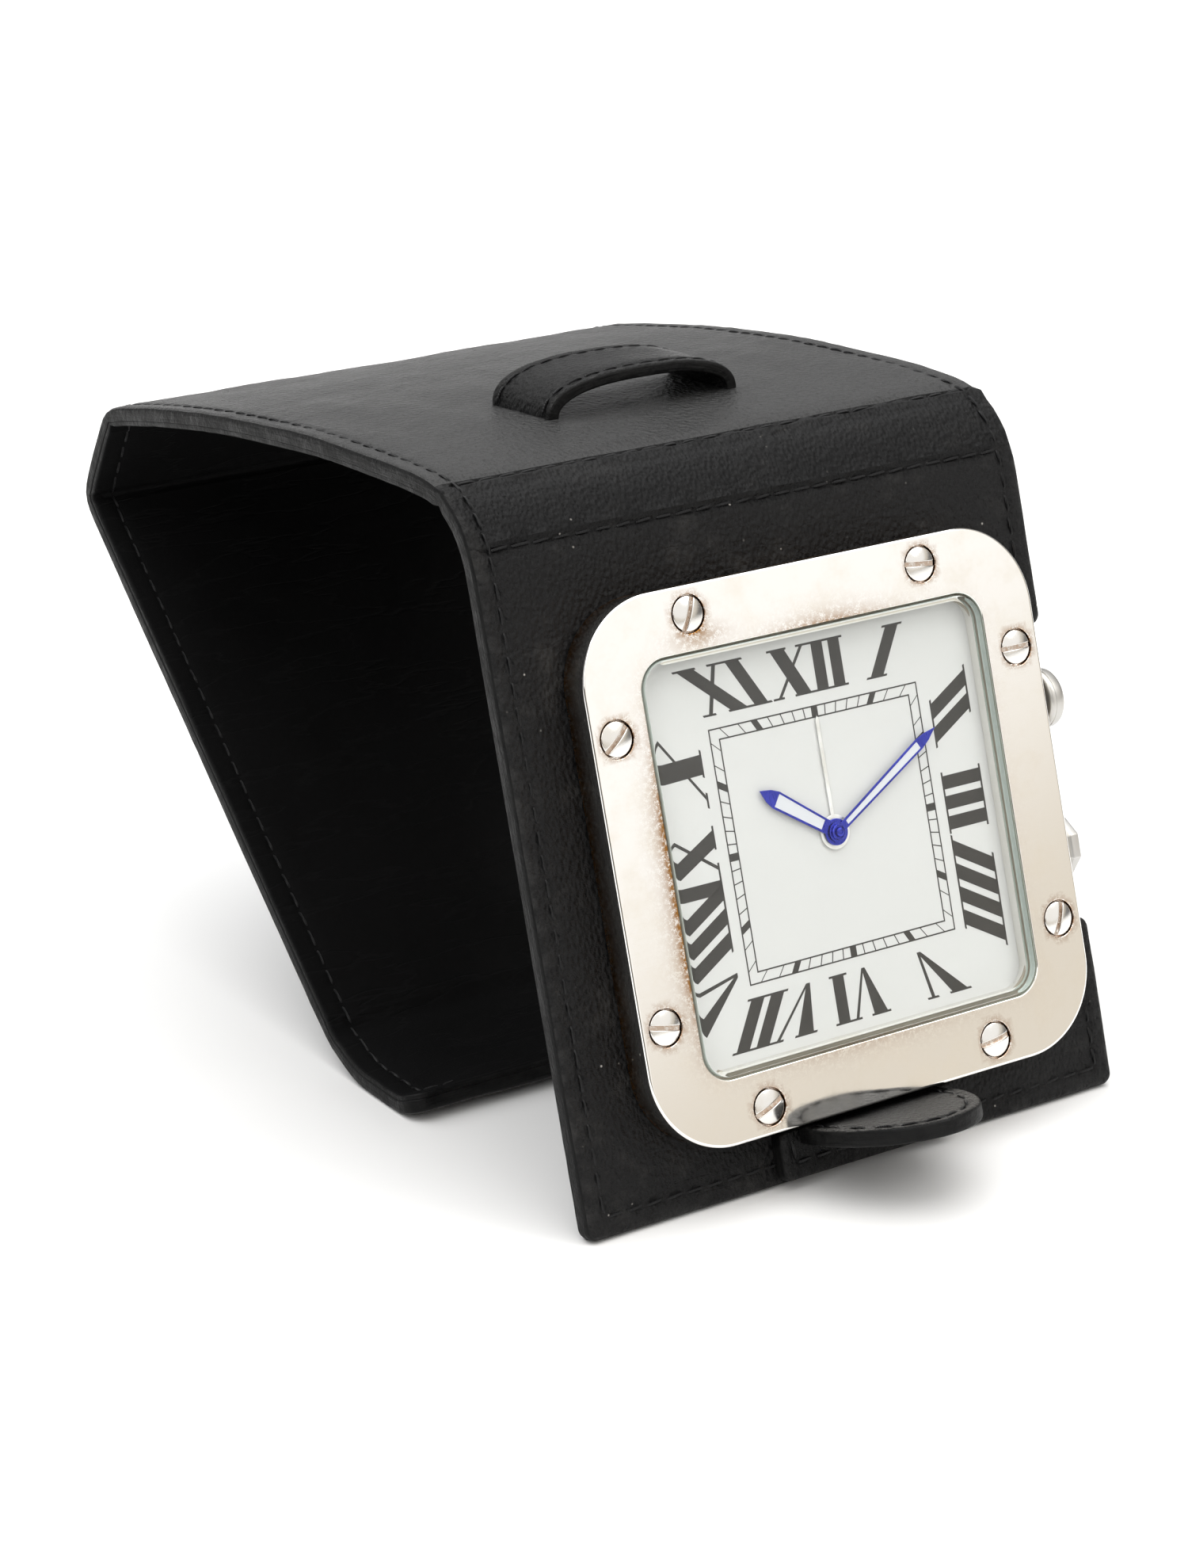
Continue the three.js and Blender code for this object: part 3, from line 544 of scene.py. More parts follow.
def filling(loops, spacing, guides):
    """Points inside the loops: an even grid, and closer rows along the guides."""
    low, high = loops[0].min(0), loops[0].max(0)
    xs = np.arange(low[0] + spacing / 2, high[0], spacing)
    ys = np.arange(low[1] + spacing / 2, high[1], spacing)
    grid = np.stack(np.meshgrid(xs, ys), -1).reshape(-1, 2)
    if guides:
        grid = grid[distance(grid, guides) > 1.25]
    rows = []
    for guide in guides:
        steps = lengths(guide)
        at = np.arange(0.2, steps[-1], 0.82)
        line = sampled(at, steps, guide)
        run = np.gradient(line, axis=0)
        run /= np.maximum(np.linalg.norm(run, axis=1), 1e-9)[:, None]
        side = leftward(run)
        rows += [line + side * shift for shift in (-0.95, -0.5, -0.2, 0.2, 0.5, 0.95)]
    points = np.vstack([grid, *rows]) if rows else grid
    points = points[inside(points, loops)]
    points = points[distance(points, [closed(loop) for loop in loops]) > min(0.3, spacing * 0.3)]
    cells, keep = set(), []
    for i, (x, y) in enumerate(points):
        cell = (round(x / 0.25), round(y / 0.25))
        if cell not in cells:
            cells.add(cell)
            keep.append(i)
    return points[keep]


def triangles(loops, extra):
    """A triangulation of the region inside the loops through the extra points."""
    flat = np.vstack([*loops, extra]) if len(extra) else np.vstack(loops)
    edges, start = [], 0
    for loop in loops:
        count = len(loop)
        edges += [(start + i, start + (i + 1) % count) for i in range(count)]
        start += count
    result = delaunay_2d_cdt([Vector(p) for p in flat], edges, [], 2, 1e-7)
    first = [sources[0] if sources else -1 for sources in result[3]]
    faces = []
    for face in result[2]:
        ids = [first[v] for v in face]
        if -1 in ids or len(set(ids)) < 3:
            continue
        a, b, c = (flat[i] for i in ids[:3])
        turn = (b[0] - a[0]) * (c[1] - a[1]) - (b[1] - a[1]) * (c[0] - a[0])
        faces.append(ids if turn > 0 else ids[::-1])
    middles = np.array([flat[face].mean(0) for face in faces])
    return [face for face, kept in zip(faces, inside(middles, loops)) if kept]


def rim(top, bottom, top_round, bottom_round, steps=4, support=0.1):
    """(inset, z, is a top level) of each loop from the underside, up the wall, to the top."""
    levels = []
    if bottom_round > 0:
        levels.append((bottom_round + support, bottom, False))
        for k in range(steps + 1):
            angle = math.pi / 2 * k / steps
            inset = bottom_round * (1 - math.sin(angle))
            levels.append((inset, bottom + bottom_round * (1 - math.cos(angle)), False))
    else:
        levels.append((0.0, bottom, False))
    if top_round > 0:
        for k in range(steps + 1):
            angle = math.pi / 2 * k / steps
            inset = top_round * (1 - math.cos(angle))
            levels.append((inset, top - top_round * (1 - math.sin(angle)), True))
        levels.append((top_round + support, top, True))
    else:
        levels.append((0.0, top, True))
    return levels


def piece(name, points, faces, materials, body, replaces=(), indices=None, marks=None, place=None):
    """A finished mesh piece from points in the clock's frame. marks are float point attributes."""
    mesh = bpy.data.meshes.new(name)
    mesh.from_pydata(to_model(np.asarray(points, float)).tolist(), [], faces)
    where = mesh.attributes.new("place", "FLOAT_VECTOR", "POINT")
    where.data.foreach_set("vector", np.asarray(points if place is None else place, np.float32).ravel())
    for label, values in (marks or {}).items():
        mark = mesh.attributes.new(label, "FLOAT", "POINT")
        mark.data.foreach_set("value", np.asarray(values, np.float32))
    for material in materials:
        mesh.materials.append(material)
    if indices is not None:
        mesh.polygons.foreach_set("material_index", np.asarray(indices, np.int32))
    mesh.shade_smooth()
    mesh.set_sharp_from_angle(angle=SHARP_EDGE)
    mesh.update()
    obj = placed(name, mesh)
    if replaces:
        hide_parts(*replaces)
    if body:
        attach(obj, body)
    return obj


def slab(loops, levels, spacing=None, guides=(), height=None, open_ends=(), edge_share=None, scales=None):
    """A plate with shaped rims. Returns its points, faces and face material numbers.

    loops[0] runs counter-clockwise and the holes clockwise. levels come from rim(). height(x, y)
    lifts the top side. Rim faces that lie less than edge_share mm in get material 1. scales are
    each loop's share of the rim's insets."""
    scales = scales or [1.0] * len(loops)
    moves = [insets(loop, open_ends) * scale for loop, scale in zip(loops, scales)]
    stack, faces, indices, tops = [], [], [], []
    count = sum(len(loop) for loop in loops)
    for inset, z, top in levels:
        flat = np.vstack([loop + move * inset for loop, move in zip(loops, moves)])
        stack.append(np.column_stack([flat, np.full(count, z)]))
        tops.append(np.full(count, top))
    for k in range(len(levels) - 1):
        inner = max(levels[k][0], levels[k + 1][0])
        number = 1 if edge_share is not None and inner <= edge_share else 0
        start = 0
        for loop in loops:
            n = len(loop)
            for i in range(n):
                a, b = start + i, start + (i + 1) % n
                faces.append((k * count + a, k * count + b, (k + 1) * count + b, (k + 1) * count + a))
                indices.append(number)
            start += n
    top_loops = [loop + move * levels[-1][0] for loop, move in zip(loops, moves)]
    low_loops = [loop + move * levels[0][0] for loop, move in zip(loops, moves)]
    extra = filling(top_loops, spacing, list(guides)) if spacing else np.zeros((0, 2))
    base = count * len(levels)
    last = count * (len(levels) - 1)
    for face in triangles(top_loops, extra):
        faces.append(tuple(last + i if i < count else base + i - count for i in face))
        indices.append(0)
    for face in triangles(low_loops, np.zeros((0, 2))):
        faces.append(tuple(reversed(face)))
        indices.append(0)
    if len(extra):
        stack.append(np.column_stack([extra, np.full(len(extra), levels[-1][1])]))
        tops.append(np.full(len(extra), True))
    points, tops = np.vstack(stack), np.concatenate(tops)
    if height is not None:
        points[tops, 2] += height(points[tops, :2])
    return points, faces, indices


def merged(parts):
    """Several (points, faces, indices) joined into one."""
    points, faces, indices, start = [], [], [], 0
    for part_points, part_faces, part_indices in parts:
        points.append(part_points)
        faces += [tuple(start + i for i in face) for face in part_faces]
        indices += list(part_indices)
        start += len(part_points)
    return np.vstack(points), faces, indices


def turned(profile, count=64, phase=0.0):
    """A lathe shape about z from [radius, z] pairs that start and end on the axis."""
    angles = np.linspace(0, 2 * math.pi, count, endpoint=False) + phase
    points, faces = [(0, 0, profile[0][1])], []
    for radius, z in profile[1:-1]:
        points += [(radius * math.cos(a), radius * math.sin(a), z) for a in angles]
    points.append((0, 0, profile[-1][1]))
    rows = len(profile) - 2
    for i in range(count):
        j = (i + 1) % count
        faces.append((0, 1 + j, 1 + i))
        for row in range(rows - 1):
            a, b = 1 + row * count, 1 + (row + 1) * count
            faces.append((a + i, a + j, b + j, b + i))
        top = 1 + (rows - 1) * count
        faces.append((top + i, top + j, len(points) - 1))
    return np.array(points, float), faces, [0] * len(faces)


def ripple(points, size, seed, count=7):
    """A smooth random surface between about -1 and 1."""
    rng = np.random.default_rng(seed)
    total = np.zeros(len(points))
    for _ in range(count):
        angle, phase = rng.uniform(0, 2 * math.pi, 2)
        wave = size * rng.uniform(0.6, 1.6)
        across = points[:, 0] * math.cos(angle) + points[:, 1] * math.sin(angle)
        total += np.sin(across * 2 * math.pi / wave + phase)
    return total / math.sqrt(count)


# ---- The leather case, developed flat -----------------------------------------------------------
# The case is one sheet that runs from the front panel's lower edge, over the folds, to the lip's
# free edge. s is the distance along it. A point of it is (x, s, h), h being its height above the
# outer face.

PANELS = [
    ("clock", (CASE_BOTTOM, 0.0), FOLDS["front_low"], 0.0, 1.2),
    ("front_fold", FOLDS["front_low"], FOLDS["front_high"], 1.2, 1.75),
    ("top_panel", FOLDS["front_high"], FOLDS["rear_high"], 1.9, 1.9),
    ("rear_fold", FOLDS["rear_high"], FOLDS["rear_low"], 1.9, 3.2),
    ("rear_panel", FOLDS["rear_low"], FOLDS["lip"], 3.2, 2.8),
    ("lip", FOLDS["lip"], LIP_TIP, 2.8, 0.0),
]


def height_above_table(point):
    rest = (CASE_BOTTOM + FRONT_EDGE_LIFT) * math.cos(LEAN) - BOARD * math.sin(LEAN)
    return point[0] * math.cos(LEAN) + point[1] * math.sin(LEAN) - rest


def lip_bow(t):
    """The lip bends down from its fold, lies flat on the table and lifts at its free edge."""
    ends = [height_above_table(point) for point in (FOLDS["lip"], LIP_TIP)]
    slope = math.asin((ends[0] - ends[1]) / math.dist(FOLDS["lip"], LIP_TIP))

    def rest(share):
        return (ends[0] * (1 - share) + ends[1] * share) / math.cos(slope)

    if t < LIP_HEEL:
        return rest(LIP_HEEL) * t / LIP_HEEL
    return rest(LIP_TOE) * (1 - t) / (1 - LIP_TOE) if t > LIP_TOE else rest(t)


def panel_line(name, start, end, start_gap, end_gap):
    """Points of a panel's outer face as seen from the side, as an (n, 2) array of y and z."""
    start, end = np.array(start), np.array(end)
    length = np.linalg.norm(end - start)
    along = (end - start) / length
    out = np.array([-along[1], along[0]])
    shares = np.linspace(start_gap / length, 1 - end_gap / length, 49)
    bows = {"top_panel": lambda t: TOP_BOW * 4 * t * (1 - t), "lip": lip_bow}
    bow = np.array([bows.get(name, lambda t: 0.0)(t) for t in shares])
    if name == "lip":
        bow = np.convolve(np.pad(bow, 3, mode="reflect", reflect_type="odd"), np.ones(7) / 7, "valid")
    return start + shares[:, None] * length * along + bow[:, None] * out


def fold_arc(before, after):
    """The bend from the end of one panel to the start of the next."""
    a, b = before[-1], after[0]
    da, db = before[-1] - before[-2], after[1] - after[0]
    da, db = da / np.linalg.norm(da), db / np.linalg.norm(db)
    turn = math.acos(np.clip(da @ db, -1, 1))
    chord = np.linalg.norm(b - a)
    handle = 4 / 3 * math.tan(turn / 4) * chord / (2 * math.sin(turn / 2))
    p1, p2 = a + da * handle, b - db * handle
    t = np.linspace(0, 1, 15)[1:-1, None]
    return (1 - t) ** 3 * a + 3 * (1 - t) ** 2 * t * p1 + 3 * (1 - t) * t * t * p2 + t ** 3 * b


def case_line():
    """The whole outer face from the side, its distances s, and each panel's range of s."""
    lines = [panel_line(*panel) for panel in PANELS]
    points, ranges = [lines[0]], [(0, len(lines[0]) - 1)]
    total = len(lines[0])
    for before, after in zip(lines, lines[1:]):
        arc = fold_arc(before, after)
        points += [arc, after]
        ranges.append((total + len(arc), total + len(arc) + len(after) - 1))
        total += len(arc) + len(after)
    points = np.vstack(points)
    steps = lengths(points)
    reach = {p[0]: (steps[a], steps[b]) for p, (a, b) in zip(PANELS, ranges)}
    even = np.arange(0, steps[-1], LINE_STEP)
    return softened(sampled(even, steps, points), even, reach), even, reach


def softened(line, even, reach):
    """The side line with its folds eased: the stiff board stops a little way short of each bend."""
    padded = np.pad(line, ((SOFT_REACH, SOFT_REACH), (0, 0)), mode="reflect", reflect_type="odd")
    result = line.copy()
    for before, after, ease in FOLD_EASE:
        low, high = reach[before][1], reach[after][0]
        kernel = np.exp(-0.5 * (np.arange(-SOFT_REACH, SOFT_REACH + 1) * LINE_STEP / ease) ** 2)
        kernel /= kernel.sum()
        smooth = np.column_stack([np.convolve(padded[:, k], kernel, "valid") for k in (0, 1)])
        away = np.maximum(np.maximum(low - even, even - high), 0)
        share = np.clip(2.2 - away / (ease * 1.6), 0, 1)[:, None]
        result = result * (1 - share) + smooth * share
    return result


LINE, LINE_S, RANGE = case_line()
SHEET_END = LINE_S[-1]
BODIES = [panel[0] for panel in PANELS]
FOLD_RANGES = [(RANGE[a][1], RANGE[b][0]) for a, b in zip(BODIES, BODIES[1:])]
LINE_OUT = leftward(np.gradient(LINE, LINE_S, axis=0))


def fold_thinning(s):
    """The folds hold no board, so they are thinner than the panels."""
    thin = np.ones(len(s))
    for a, b in FOLD_RANGES:
        share = np.clip((s - a) / (b - a), 0, 1)
        thin -= 0.2 * np.sin(share * math.pi) ** 2
    return thin


def bent(points):
    """Points (x, s, h) of the developed case to the clock's frame."""
    s = points[:, 1]
    at, out = sampled(s, LINE_S, LINE), sampled(s, LINE_S, LINE_OUT)
    out /= np.linalg.norm(out, axis=1)[:, None]
    at = at + out * (points[:, 2] * fold_thinning(s))[:, None]
    return np.column_stack([points[:, 0], at])


def notched(grow=0.0):
    """The front panel's outline with the knob notch in its right edge."""
    left, right = CASE_LEFT + grow, CASE_RIGHT - grow
    low, high = grow, RANGE["clock"][1]
    middle = -CASE_BOTTOM
    inner, reach = right - NOTCH["depth"], NOTCH["half"] + grow
    r, c = NOTCH["radius"], NOTCH["corner"]

    def arc(cx, cy, radius, start, stop):
        angles = np.radians(np.linspace(start, stop, 9))
        return [(cx + radius * math.cos(a), cy + radius * math.sin(a)) for a in angles]

    outline = [(left, high)]
    outline += arc(left + c, low + c, c, 180, 270)
    outline += arc(right - c, low + c, c, 270, 360)
    outline += arc(right - c, middle - reach - c, c, 0, 90)
    outline += arc(inner + r, middle - reach + r, r, 270, 180)
    outline += arc(inner + r, middle + reach - r, r, 180, 90)
    outline += arc(right - c, middle + reach + c, c, 270, 360)
    outline.append((right, high))
    return np.array(outline)


def tip_outline(low, grow):
    """The lip's outline, with its free corners rounded."""
    left, right, high, c = CASE_LEFT + grow, CASE_RIGHT - grow, SHEET_END - grow, 3.0
    angles = np.radians(np.linspace(0, 90, 9))
    outline = [(left, low), (right, low)]
    outline += [(right - c + c * math.cos(a), high - c + c * math.sin(a)) for a in angles]
    outline += [(left + c - c * math.sin(a), high - c + c * math.cos(a)) for a in angles]
    return np.array(outline)


def band_outline(low, high, grow):
    left, right = CASE_LEFT + grow, CASE_RIGHT - grow
    return np.array([(left, low), (right, low), (right, high), (left, high)])


def stitch_lines(inset):
    """The sewn lines of the developed case: round its edges, and across both sides of the strip."""
    left, right = CASE_LEFT + inset, CASE_RIGHT - inset
    low, high = inset, SHEET_END - inset
    middle, reach = -CASE_BOTTOM, NOTCH["half"] + inset
    inner = right - NOTCH["depth"] + 0.4
    round_edge = [
        (left, high), (left, low), (right, low), (right, middle - reach), (inner, middle - reach),
        (inner, middle + reach), (right, middle + reach), (right, high), (left, high),
    ]
    return [np.array(round_edge, float)]


def seam_lines(inset):
    left, right = CASE_LEFT + inset, CASE_RIGHT - inset
    first = FOLD_RANGES[0][0] - 0.4
    second = FOLD_RANGES[1][1] - 0.6
    return [np.array([(left, s), (right, s)], float) for s in (first, second)]


EDGE_LINES = stitch_lines(STITCH_INSET)
SEAM_LINES = seam_lines(STITCH_INSET)
INNER_LINES = stitch_lines(STITCH_INSET + 0.6)


def cut_lines(lines, low, high):
    """The parts of some polylines whose s lies between two values."""
    kept = []
    for line in lines:
        for a, b in zip(line[:-1], line[1:]):
            if max(a[1], b[1]) < low or min(a[1], b[1]) > high:
                continue
            shares = [0.0, 1.0]
            if abs(b[1] - a[1]) > 1e-6:
                marks = sorted(((low - a[1]) / (b[1] - a[1]), (high - a[1]) / (b[1] - a[1])))
                shares = [max(0.0, marks[0]), min(1.0, marks[1])]
            if shares[1] > shares[0]:
                kept.append(np.array([a + (b - a) * share for share in shares]))
    return kept


def hide_height(points):
    """Relief of the outer face: the pull of the stitches, turned edges and the strip's raised seams."""
    edge_gap = distance(points, EDGE_LINES)
    pucker = 0.75 + 0.35 * np.cos((points[:, 0] + points[:, 1]) * 2 * math.pi / STITCH_PITCH)
    lift = 0.07 * ripple(points, 17, 4) + 0.035 * ripple(points, 5, 9)
    lift -= 0.26 * np.exp(-((edge_gap / 0.55) ** 2)) * pucker
    for line, side in zip(SEAM_LINES, (1, -1)):
        across = (points[:, 1] - line[0, 1]) * side + 0.12 * ripple(points, 9, 3)
        from_side = CASE_RIGHT - CASE_MIDDLE - abs(points[:, 0] - CASE_MIDDLE)
        ends = np.clip((STITCH_INSET + 2 + from_side) / 3, 0, 1)
        fold = 0.34 * np.exp(-(((across - 0.95) / 0.75) ** 2)) * (1 + 0.35 * ripple(points, 4, 12 + side))
        lift += (fold - 0.42 * np.exp(-((across / 0.42) ** 2))) * ends
    return lift


def lining_height(points):
    """Relief of the lining: shallow sewn grooves and long creases beside the folds."""
    lift = 0.05 * ripple(points, 21, 31) + 0.03 * ripple(points, 6, 33)
    lift -= 0.16 * np.exp(-((distance(points, INNER_LINES) / 0.6) ** 2))
    rng = np.random.default_rng(17)
    for start, stop in FOLD_RANGES[1:]:
        for _ in range(7):
            centre = rng.uniform(start - 15, stop + 15)
            sway = rng.uniform(0.6, 1.8)
            wobble = centre + sway * np.sin(points[:, 0] / rng.uniform(9, 16) + rng.uniform(0, 6))
            middle, reach = rng.uniform(-35, 30), rng.uniform(14, 34)
            fade = np.exp(-(((points[:, 0] - middle) / reach) ** 2))
            lift -= rng.uniform(0.1, 0.24) * fade * np.exp(-(((points[:, 1] - wobble) / 0.55) ** 2))
    return lift


def case_piece(name, body, blend_with, outline, low, high, open_ends, nodes, finishes, holes=()):
    """One length of the case: its outer hide and its lining."""
    hide, lining = finishes
    outer = divided(outline(0.0), 2.0)
    guides = cut_lines(EDGE_LINES + SEAM_LINES, low - 0.5, high + 0.5)
    levels = rim(0.0, -HIDE, 0.85, 0.15, support=0.25)
    loops = [outer] + [hole[::-1] for hole in holes]
    points, faces, indices = slab(loops, levels, 1.35, guides, hide_height, open_ends, edge_share=0.45)
    finish_case(f"{name}_hide", points, faces, indices, [hide, EDGE_PAINT],
                body, blend_with, nodes[:1])

    inner = divided(outline(0.12), 2.0)
    guides = cut_lines(INNER_LINES, low - 0.5, high + 0.5)
    levels = rim(BOARD, HIDE + 0.04, 0.45, 0.0, support=0.25)
    loops = [inner] + [hole[::-1] for hole in holes]
    points, faces, indices = slab(loops, levels, 1.5, guides, lining_height, open_ends, edge_share=0.2)
    points[:, 2] *= -1
    faces = [face[::-1] for face in faces]
    finish_case(f"{name}_inner_hide", points, faces, indices, [lining, EDGE_PAINT],
                body, blend_with, nodes[1:])


def finish_case(name, points, faces, indices, materials, body, blend_with, nodes):
    limits = np.minimum(points[:, 0] - CASE_LEFT, CASE_RIGHT - points[:, 0])
    limits = np.minimum(limits, np.minimum(points[:, 1], SHEET_END - points[:, 1]))
    marks = {"edge": np.exp(-np.clip(limits, 0, None) / 0.9)}
    if blend_with is None:
        return piece(name, bent(points), faces, materials, body, nodes, indices, marks, points)
    obj = piece(name, bent(points), faces, materials, None, nodes, indices, marks, points)
    return blend_case(obj, body, blend_with)


def blend_case(obj, body, next_body):
    """Bakes obj's placing into its mesh; the ends of the fold between the two panels are worked out but not
    used.
    """
    ends = np.array([[CASE_MIDDLE, RANGE[body][1], 0.0], [CASE_MIDDLE, RANGE[next_body][0], 0.0]])
    start, end = to_model(bent(ends))
    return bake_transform(obj)


def stitch_mesh(starts, directions, normals, length, radius, lift, seed):
    """Sewn stitches: short capsules that dip into the leather at both ends."""
    rng = np.random.default_rng(seed)
    across, along = 8, 9
    t = np.linspace(-1, 1, along)
    thick = radius * np.sqrt(np.clip(1 - np.abs(t) ** 5, 0.02, 1))
    rise = lift - (lift + radius * 1.15) * t ** 4
    angles = np.linspace(0, 2 * math.pi, across, endpoint=False)
    points, faces = [], []
    for start, run, up in zip(starts, directions, normals):
        side = np.cross(up, run)
        run = run + side * rng.uniform(-0.05, 0.05) + side * 0.07
        run /= np.linalg.norm(run)
        side = np.cross(up, run)
        size = rng.uniform(0.92, 1.08)
        base = len(points) * along * across
        rows = [
            start + run * ti * length / 2 * size + up * ri
            + (side * np.cos(angles)[:, None] + up * np.sin(angles)[:, None] * 0.8) * ki
            for ti, ri, ki in zip(t, rise, thick)
        ]
        points.append(np.vstack(rows))
        for k in range(along - 1):
            for i in range(across):
                j = (i + 1) % across
                a, b = base + k * across, base + (k + 1) * across
                faces.append((a + i, a + j, b + j, b + i)[::-1])
        faces.append(tuple(base + i for i in range(across)))
        faces.append(tuple(base + (along - 1) * across + i for i in range(across))[::-1])
    return np.vstack(points), faces


def spread(line, pitch):
    """Stitch centres and directions along a polyline, each straight stretch on its own."""
    centres, runs = [], []
    for a, b in zip(line[:-1], line[1:]):
        length = np.linalg.norm(b - a)
        count = max(1, int(round(length / pitch)))
        for i in range(count):
            centres.append(a + (b - a) * (i + 0.5) / count)
            runs.append((b - a) / length)
    return np.array(centres), np.array(runs)


def case_stitching():
    """Stitches on both faces of the case, shared out between the panels and the folds."""
    outer = [(line, 1, -0.12) for line in EDGE_LINES + SEAM_LINES]
    inner = [(line, -1, -BOARD + 0.1) for line in INNER_LINES]
    groups = {}
    for line, side, level in outer + inner:
        centres, runs = spread(line, STITCH_PITCH)
        for centre, run in zip(centres, runs):
            ends = sorted(((centre - run * 1.3)[1], (centre + run * 1.3)[1]))
            key = next((body for body in BODIES if RANGE[body][0] <= centre[1] <= RANGE[body][1]), None)
            for i, (a, b) in enumerate(FOLD_RANGES):
                if ends[1] > a and ends[0] < b:
                    key = i
            at = np.array([[*centre, level], [*(centre + run * 0.4), level], [*centre, level + side * 0.5]])
            p, q, r = bent(at)
            run, up = (q - p) / np.linalg.norm(q - p), (r - p) / np.linalg.norm(r - p)
            groups.setdefault(key, []).append((p, run, up))
    for key in BODIES + list(range(len(FOLD_RANGES))):
        if key not in groups:
            continue
        starts, runs, ups = (np.array(column) for column in zip(*groups[key]))
        points, faces = stitch_mesh(starts, runs, ups, 2.9, 0.21, 0.03, 5)
        if key in BODIES:
            piece(f"stitching_{key}", points, faces, [THREAD], key)
        else:
            obj = piece(f"stitching_fold_{key + 1}", points, faces, [THREAD], None)
            blend_case(obj, BODIES[key], BODIES[key + 1])


def leather_case():
    top = leather("top_hide", (0.0095, 0.0095, 0.0094), 0.36, 0.6, 0.6, 0.03, 0.12, gloss=0.56)
    front = leather("front_hide", (0.0031, 0.003, 0.0032), 0.46, 0.55, 0.5, 0.04, 1.0, gloss=0.2)
    strip = leather("strip_hide", (0.002, 0.002, 0.0022), 0.4, 0.5, 0.3, 0.012, 0.5, gloss=0.16)
    lining = lining_hide()
    hides = {"clock": front, "front_fold": strip}
    labels = {"clock": "front_panel"}
    barrel = rounded(BARREL_HALF + 0.6, BARREL_HALF + 0.6, BARREL_ROUND, (0, -CASE_BOTTOM))
    for body in BODIES:
        low, high = RANGE[body]
        label = labels.get(body, body)
        nodes = (f"{label}_leather", f"{label}_lining")
        finishes = (hides.get(body, top), lining)
        if body == "clock":
            case_piece(label, body, None, notched, low, high, [high], nodes, finishes, [barrel])
        elif body == "lip":
            outline = lambda grow: tip_outline(low, grow)
            case_piece(label, body, None, outline, low, high, [low], nodes, finishes)
        else:
            outline = lambda grow: band_outline(low, high, grow)
            case_piece(label, body, None, outline, low, high, [low, high], nodes, finishes)
    after = [front, top, top, top, top]
    for i, (low, high) in enumerate(FOLD_RANGES):
        outline = lambda grow: band_outline(low, high, grow)
        finishes = (strip if i < 2 else after[i], lining)
        case_piece(f"fold_{i + 1}", BODIES[i], BODIES[i + 1], outline, low, high, [low, high], (), finishes)


# ---- Keeper and strap ---------------------------------------------------------------------------

def keeper_arch(points):
    """(distance along the band, across it, height) to the case's developed frame."""
    t = np.linspace(0, math.pi, 241)
    power = 2 / 2.6
    x = -KEEPER["half"] * np.sign(np.cos(t)) * np.abs(np.cos(t)) ** power
    h = KEEPER["height"] * np.sin(t) ** power - 0.35
    curve = np.column_stack([x, h])
    steps = lengths(curve)
    even = np.linspace(0, steps[-1], 161)
    curve = sampled(even, steps, curve)
    run = np.gradient(curve, even, axis=0)
    for _ in range(3):
        run[1:-1] = (run[:-2] + run[1:-1] * 2 + run[2:]) / 4
    out = leftward(run)
    out /= np.linalg.norm(out, axis=1)[:, None]
    at, up = sampled(points[:, 0], even, curve).T, sampled(points[:, 0], even, out).T
    s = RANGE["top_panel"][0] + KEEPER["from_fold"] - 1.9 + points[:, 1]
    depth = points[:, 2] - KEEPER["thickness"]
    return np.column_stack([CASE_MIDDLE + at[0] + up[0] * depth, s, at[1] + up[1] * depth]), even[-1]


def sewn_relief(lines, depth=0.3, width=0.5):
    def height(points):
        pucker = 0.75 + 0.3 * np.cos((points[:, 0] + points[:, 1]) * 2 * math.pi / STITCH_PITCH)
        groove = depth * np.exp(-((distance(points, lines) / width) ** 2)) * pucker
        return 0.05 * ripple(points, 8, 6) - groove
    return height


def sewing(lines, level, to_place, length=2.75, pitch=3.1, seed=7, radius=0.22):
    """Stitches along lines of a flat pattern, carried to the clock's frame by to_place."""
    starts, ups, runs = [], [], []
    for line in lines:
        for centre, run in zip(*spread(line, pitch)):
            ends = np.array([[*centre, level], [*(centre + run * 0.3), level], [*centre, level + 0.3]])
            p, q, r = to_place(ends)
            starts.append(p)
            runs.append((q - p) / np.linalg.norm(q - p))
            ups.append((r - p) / np.linalg.norm(r - p))
    return stitch_mesh(starts, runs, ups, length, radius, 0.08, seed)


def keeper():
    _, length = keeper_arch(np.zeros((1, 3)))
    depth = KEEPER["depth"]
    outline = divided(np.array([(0, 0), (length, 0), (length, depth), (0, depth)], float), 1.0)
    swapped = outline[:, ::-1][::-1]
    lines = [np.array([(at, 0.6), (at, length - 0.6)]) for at in (1.7, depth - 1.7)]
    levels = rim(KEEPER["thickness"], 0.0, 0.45, 0.3, support=0.2)
    points, faces, indices = slab([swapped], levels, 0.9, lines, sewn_relief(lines), [0, length],
                                  edge_share=0.2)

    def place(flat):
        return bent(keeper_arch(flat[:, [1, 0, 2]])[0])

    faces = [face[::-1] for face in faces]
    edge = np.exp(-np.minimum(points[:, 0], depth - points[:, 0]).clip(0) / 0.6)
    band = piece("keeper_band", place(points), faces, [STRAP_HIDE, EDGE_PAINT], "top_panel",
                 ["keeper_loop"], indices, {"edge": edge}, points)
    stitches, stitch_faces = sewing(lines, KEEPER["thickness"] - 0.1, place)
    piece("stitching_keeper", stitches, stitch_faces, [THREAD], "top_panel")
    return band


